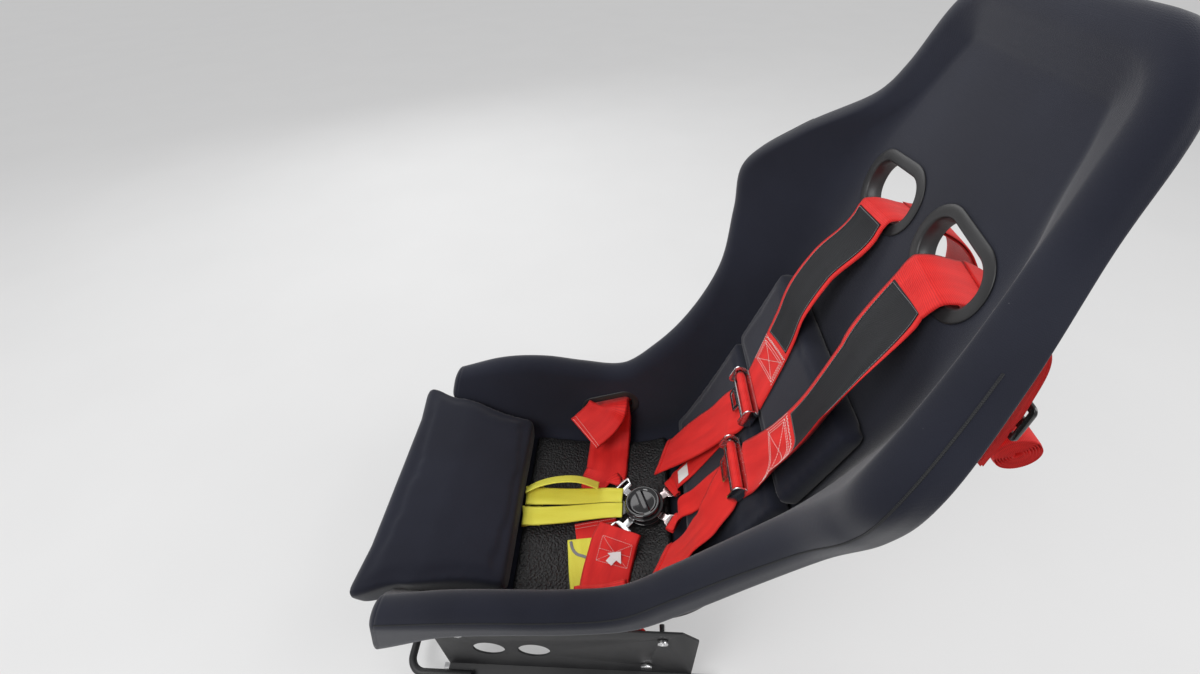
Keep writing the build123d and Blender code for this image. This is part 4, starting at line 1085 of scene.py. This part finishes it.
# Belt ends behind the seat, each doubled through a slide, with the spare length rolled; the roll's radius grows by
# one pitch a turn
rearRoute = ((0, 0), (32, -12), (70, -52), (84, -120), (84, -225))
roll = dict(first=5.0, last=25.6, pitch=2.9, middle=(0, 114.3, -205), width=74.0, thick=2.1)
turned = np.linspace(0, (roll["last"] - roll["first"]) / roll["pitch"] * 2 * math.pi, 420)
r = roll["first"] + roll["pitch"] * turned / (2 * math.pi)
a = turned - turned[-1] - math.pi
for name, side in sides:
    plane = shoulderSlot(side)
    start = onPlane(plane, [0, slotRise, -41])
    line = bandLine([start + [0, y, z] for y, z in rearRoute], [plane[1]] + [across] * 4)
    for layer, lift, replaced in (("front", -1.5, [f"rear_belt_{name}"]), ("back", 1.5, [])):
        made = strap(f"rearBelt_{name}_{layer}", line, *replaced, lift=lift)
        asSheet(made, line, "hung", [f"shoulder_slot_trim_{name}"])
    centre = start + roll["middle"] + np.stack([0 * a, r * np.cos(a), r * np.sin(a)], -1)
    line = bandFrom(centre, np.repeat(across[None], len(a), 0), 2.5, belt["width"] / 2)
    made = strap(f"spareRoll_{name}", line, f"spare_roll_{name}", thick=roll["thick"], width=roll["width"])
    asSheet(made, line, "folded", [f"rear_belt_{name}"], width=roll["width"])
print("rear belts made")


# Metal pieces: the node's own shape with its flat faces joined and its edges broken
def hardCopy(node, material, slot, edge, body="seat", segments=2):
    made = tidyMesh(copyOf(node), flatAngle=math.radians(1.0))
    modify(made, "BEVEL", width=edge / 1000, segments=segments, limit_method="ANGLE", angle_limit=math.radians(32))
    applyModifiers(made)
    made.data.shade_smooth()
    made.data.set_sharp_from_angle(angle=math.radians(38))
    return dress(made, material, slot, node, body=body)


# material, slot and each piece's broken edge in millimetres
metalPieces = [
    (powderCoat, "bracket_black", dict(side_bracket=0.6)),
    (railSteel, "rail_steel", dict(upper_rail=0.4)),
    (plated, "plated_steel", dict(lap_end_plate=0.6, crotch_end_plate=0.6, side_bolt_front=0.6, side_bolt_rear=0.6,
                                  lap_bolt=0.6, adjuster=0.45)),
    (tongueSteel, "plated_steel", dict(shoulder_tongue=0.5)),
    (plated, "plated_steel", dict(lap_tongue=0.5)),
    (blackMetal, "buckle_black", dict(three_bar_slide=0.9)),
]
for material, slot, edges in metalPieces:
    for base, edge in edges.items():
        for name, _ in sides:
            hardCopy(f"{base}_{name}", material, slot, edge)
for name, _ in sides:
    hardCopy(f"lower_rail_{name}", railSteel, "rail_steel", 0.4, body="rails")
hardCopy("crotch_tongue", blackMetal, "buckle_black", 0.5)
hardCopy("release_bar", powderCoat, "bracket_black", 0.5)
hardCopy("buckle_body", gloss, "buckle_black", 1.4, segments=3)

# Buckle cap: height over the disc, a raised rim, a dish inside it and a turning bar across
cap = dict(r=29.4, tall=7.6, shoulder=3.2, rim=1.8, dish=2.6, dishR=22.0, wallR=22.5, dome=1.6, bar=5.2, barLong=22.0,
           turn=20.0, under=0.3)
radial = [np.linspace(0, cap["dishR"], 24), cap["r"] - cap["shoulder"] + np.linspace(-cap["rim"], 0, 5)]
t = np.linspace(0, 2 * math.pi, 97)[:-1]
rr, tt = np.meshgrid(np.concatenate(radial), t, indexing="ij")
u = rr * np.cos(tt - math.radians(cap["turn"]))
w = rr * np.sin(tt - math.radians(cap["turn"]))
inside = 1 / (1 + (rr / cap["wallR"])**24)
grip = np.exp(-(w / cap["bar"])**6) * np.exp(-(u / cap["barLong"])**10)
top = cap["tall"] - inside * (cap["dish"] - cap["dome"] * (1 - (rr / cap["dishR"])**2)) * (1 - grip)
rings = [np.stack([rr * np.cos(tt), rr * np.sin(tt), top], -1)]
side = [(cap["r"] - cap["shoulder"] * (1 - math.sin(a)), cap["tall"] - cap["shoulder"] * (1 - math.cos(a)))
        for a in np.linspace(0, math.pi / 2, 7)[1:]]
side += [(cap["r"], 1.0), (cap["r"] - 0.6, cap["under"]), (12.0, cap["under"]), (0.0, cap["under"])]
for r, h in side:
    rings.append(np.stack([r * np.cos(t), r * np.sin(t), 0 * t + h], -1)[None])
rings = np.concatenate(rings)
made = objectFrom("buckleCap", onPlane(bucklePlane, rings).reshape(-1, 3), gridFaces(len(rings), len(t), False, True))
dress(tidyMesh(made), gloss, "buckle_black", "buckle_cap")
print("metal pieces made")

# Floor, lights and world. The camera sees the floor partly as a flat pale glow
floorSizes = dict(half=20.0, below=0.0005, glow=0.45)
corners = [(x * floorSizes["half"], y * floorSizes["half"], -floorSizes["below"])
           for x, y in ((-1, -1), (1, -1), (1, 1), (-1, 1))]
floorMesh = bpy.data.meshes.new("floor")
floorMesh.from_pydata(corners, [], [(0, 1, 2, 3)])
floor = placed("floor", floorMesh)
pale = Finish("paleFloor")
pale.finish(pale.ramp(pale.noise(3.0), (0.3, (0.72, 0.72, 0.72)), (0.7, (0.75, 0.75, 0.75))), 0.7)
glow = pale.node("Emission", Color=(0.80, 0.80, 0.80, 1), Strength=1.0)
both = pale.tree.nodes.new("ShaderNodeMixShader")
feed(pale.tree, both.inputs[0], pale.node("LightPath") * floorSizes["glow"])
pale.tree.links.new(pale.shader.outputs[0], both.inputs[1])
pale.tree.links.new(glow.socket, both.inputs[2])
pale.tree.links.new(both.outputs[0], pale.tree.nodes["Material Output"].inputs["Surface"])
floor.data.materials.append(pale.material)

lamps = [
    dict(name="keyLamp", place=(1.3, -1.5, 2.4), aim=(0, 0, 0.4), size=1.6, power=42.0),
    dict(name="fillLamp", place=(-1.9, -1.0, 1.7), aim=(0, 0, 0.4), size=2.0, power=22.0),
    dict(name="rearLamp", place=(0.3, 2.0, 2.0), aim=(0, 0, 0.5), size=1.6, power=24.0),
]
for lamp in lamps:
    data = bpy.data.lights.new(lamp["name"], "AREA")
    data.energy, data.size, data.shape = lamp["power"], lamp["size"], "DISK"
    made = placed(lamp["name"], data)
    made.location = lamp["place"]
    made.rotation_euler = (Vector(lamp["aim"]) - Vector(lamp["place"])).to_track_quat("-Z", "Y").to_euler()
world = bpy.data.worlds.new("studio")
world.use_nodes = True
background = world.node_tree.nodes["Background"].inputs
background["Color"].default_value = (0.9, 0.9, 0.91, 1)
background["Strength"].default_value = 0.5
bpy.context.scene.world = world
bpy.context.scene.view_settings.view_transform = "Standard"
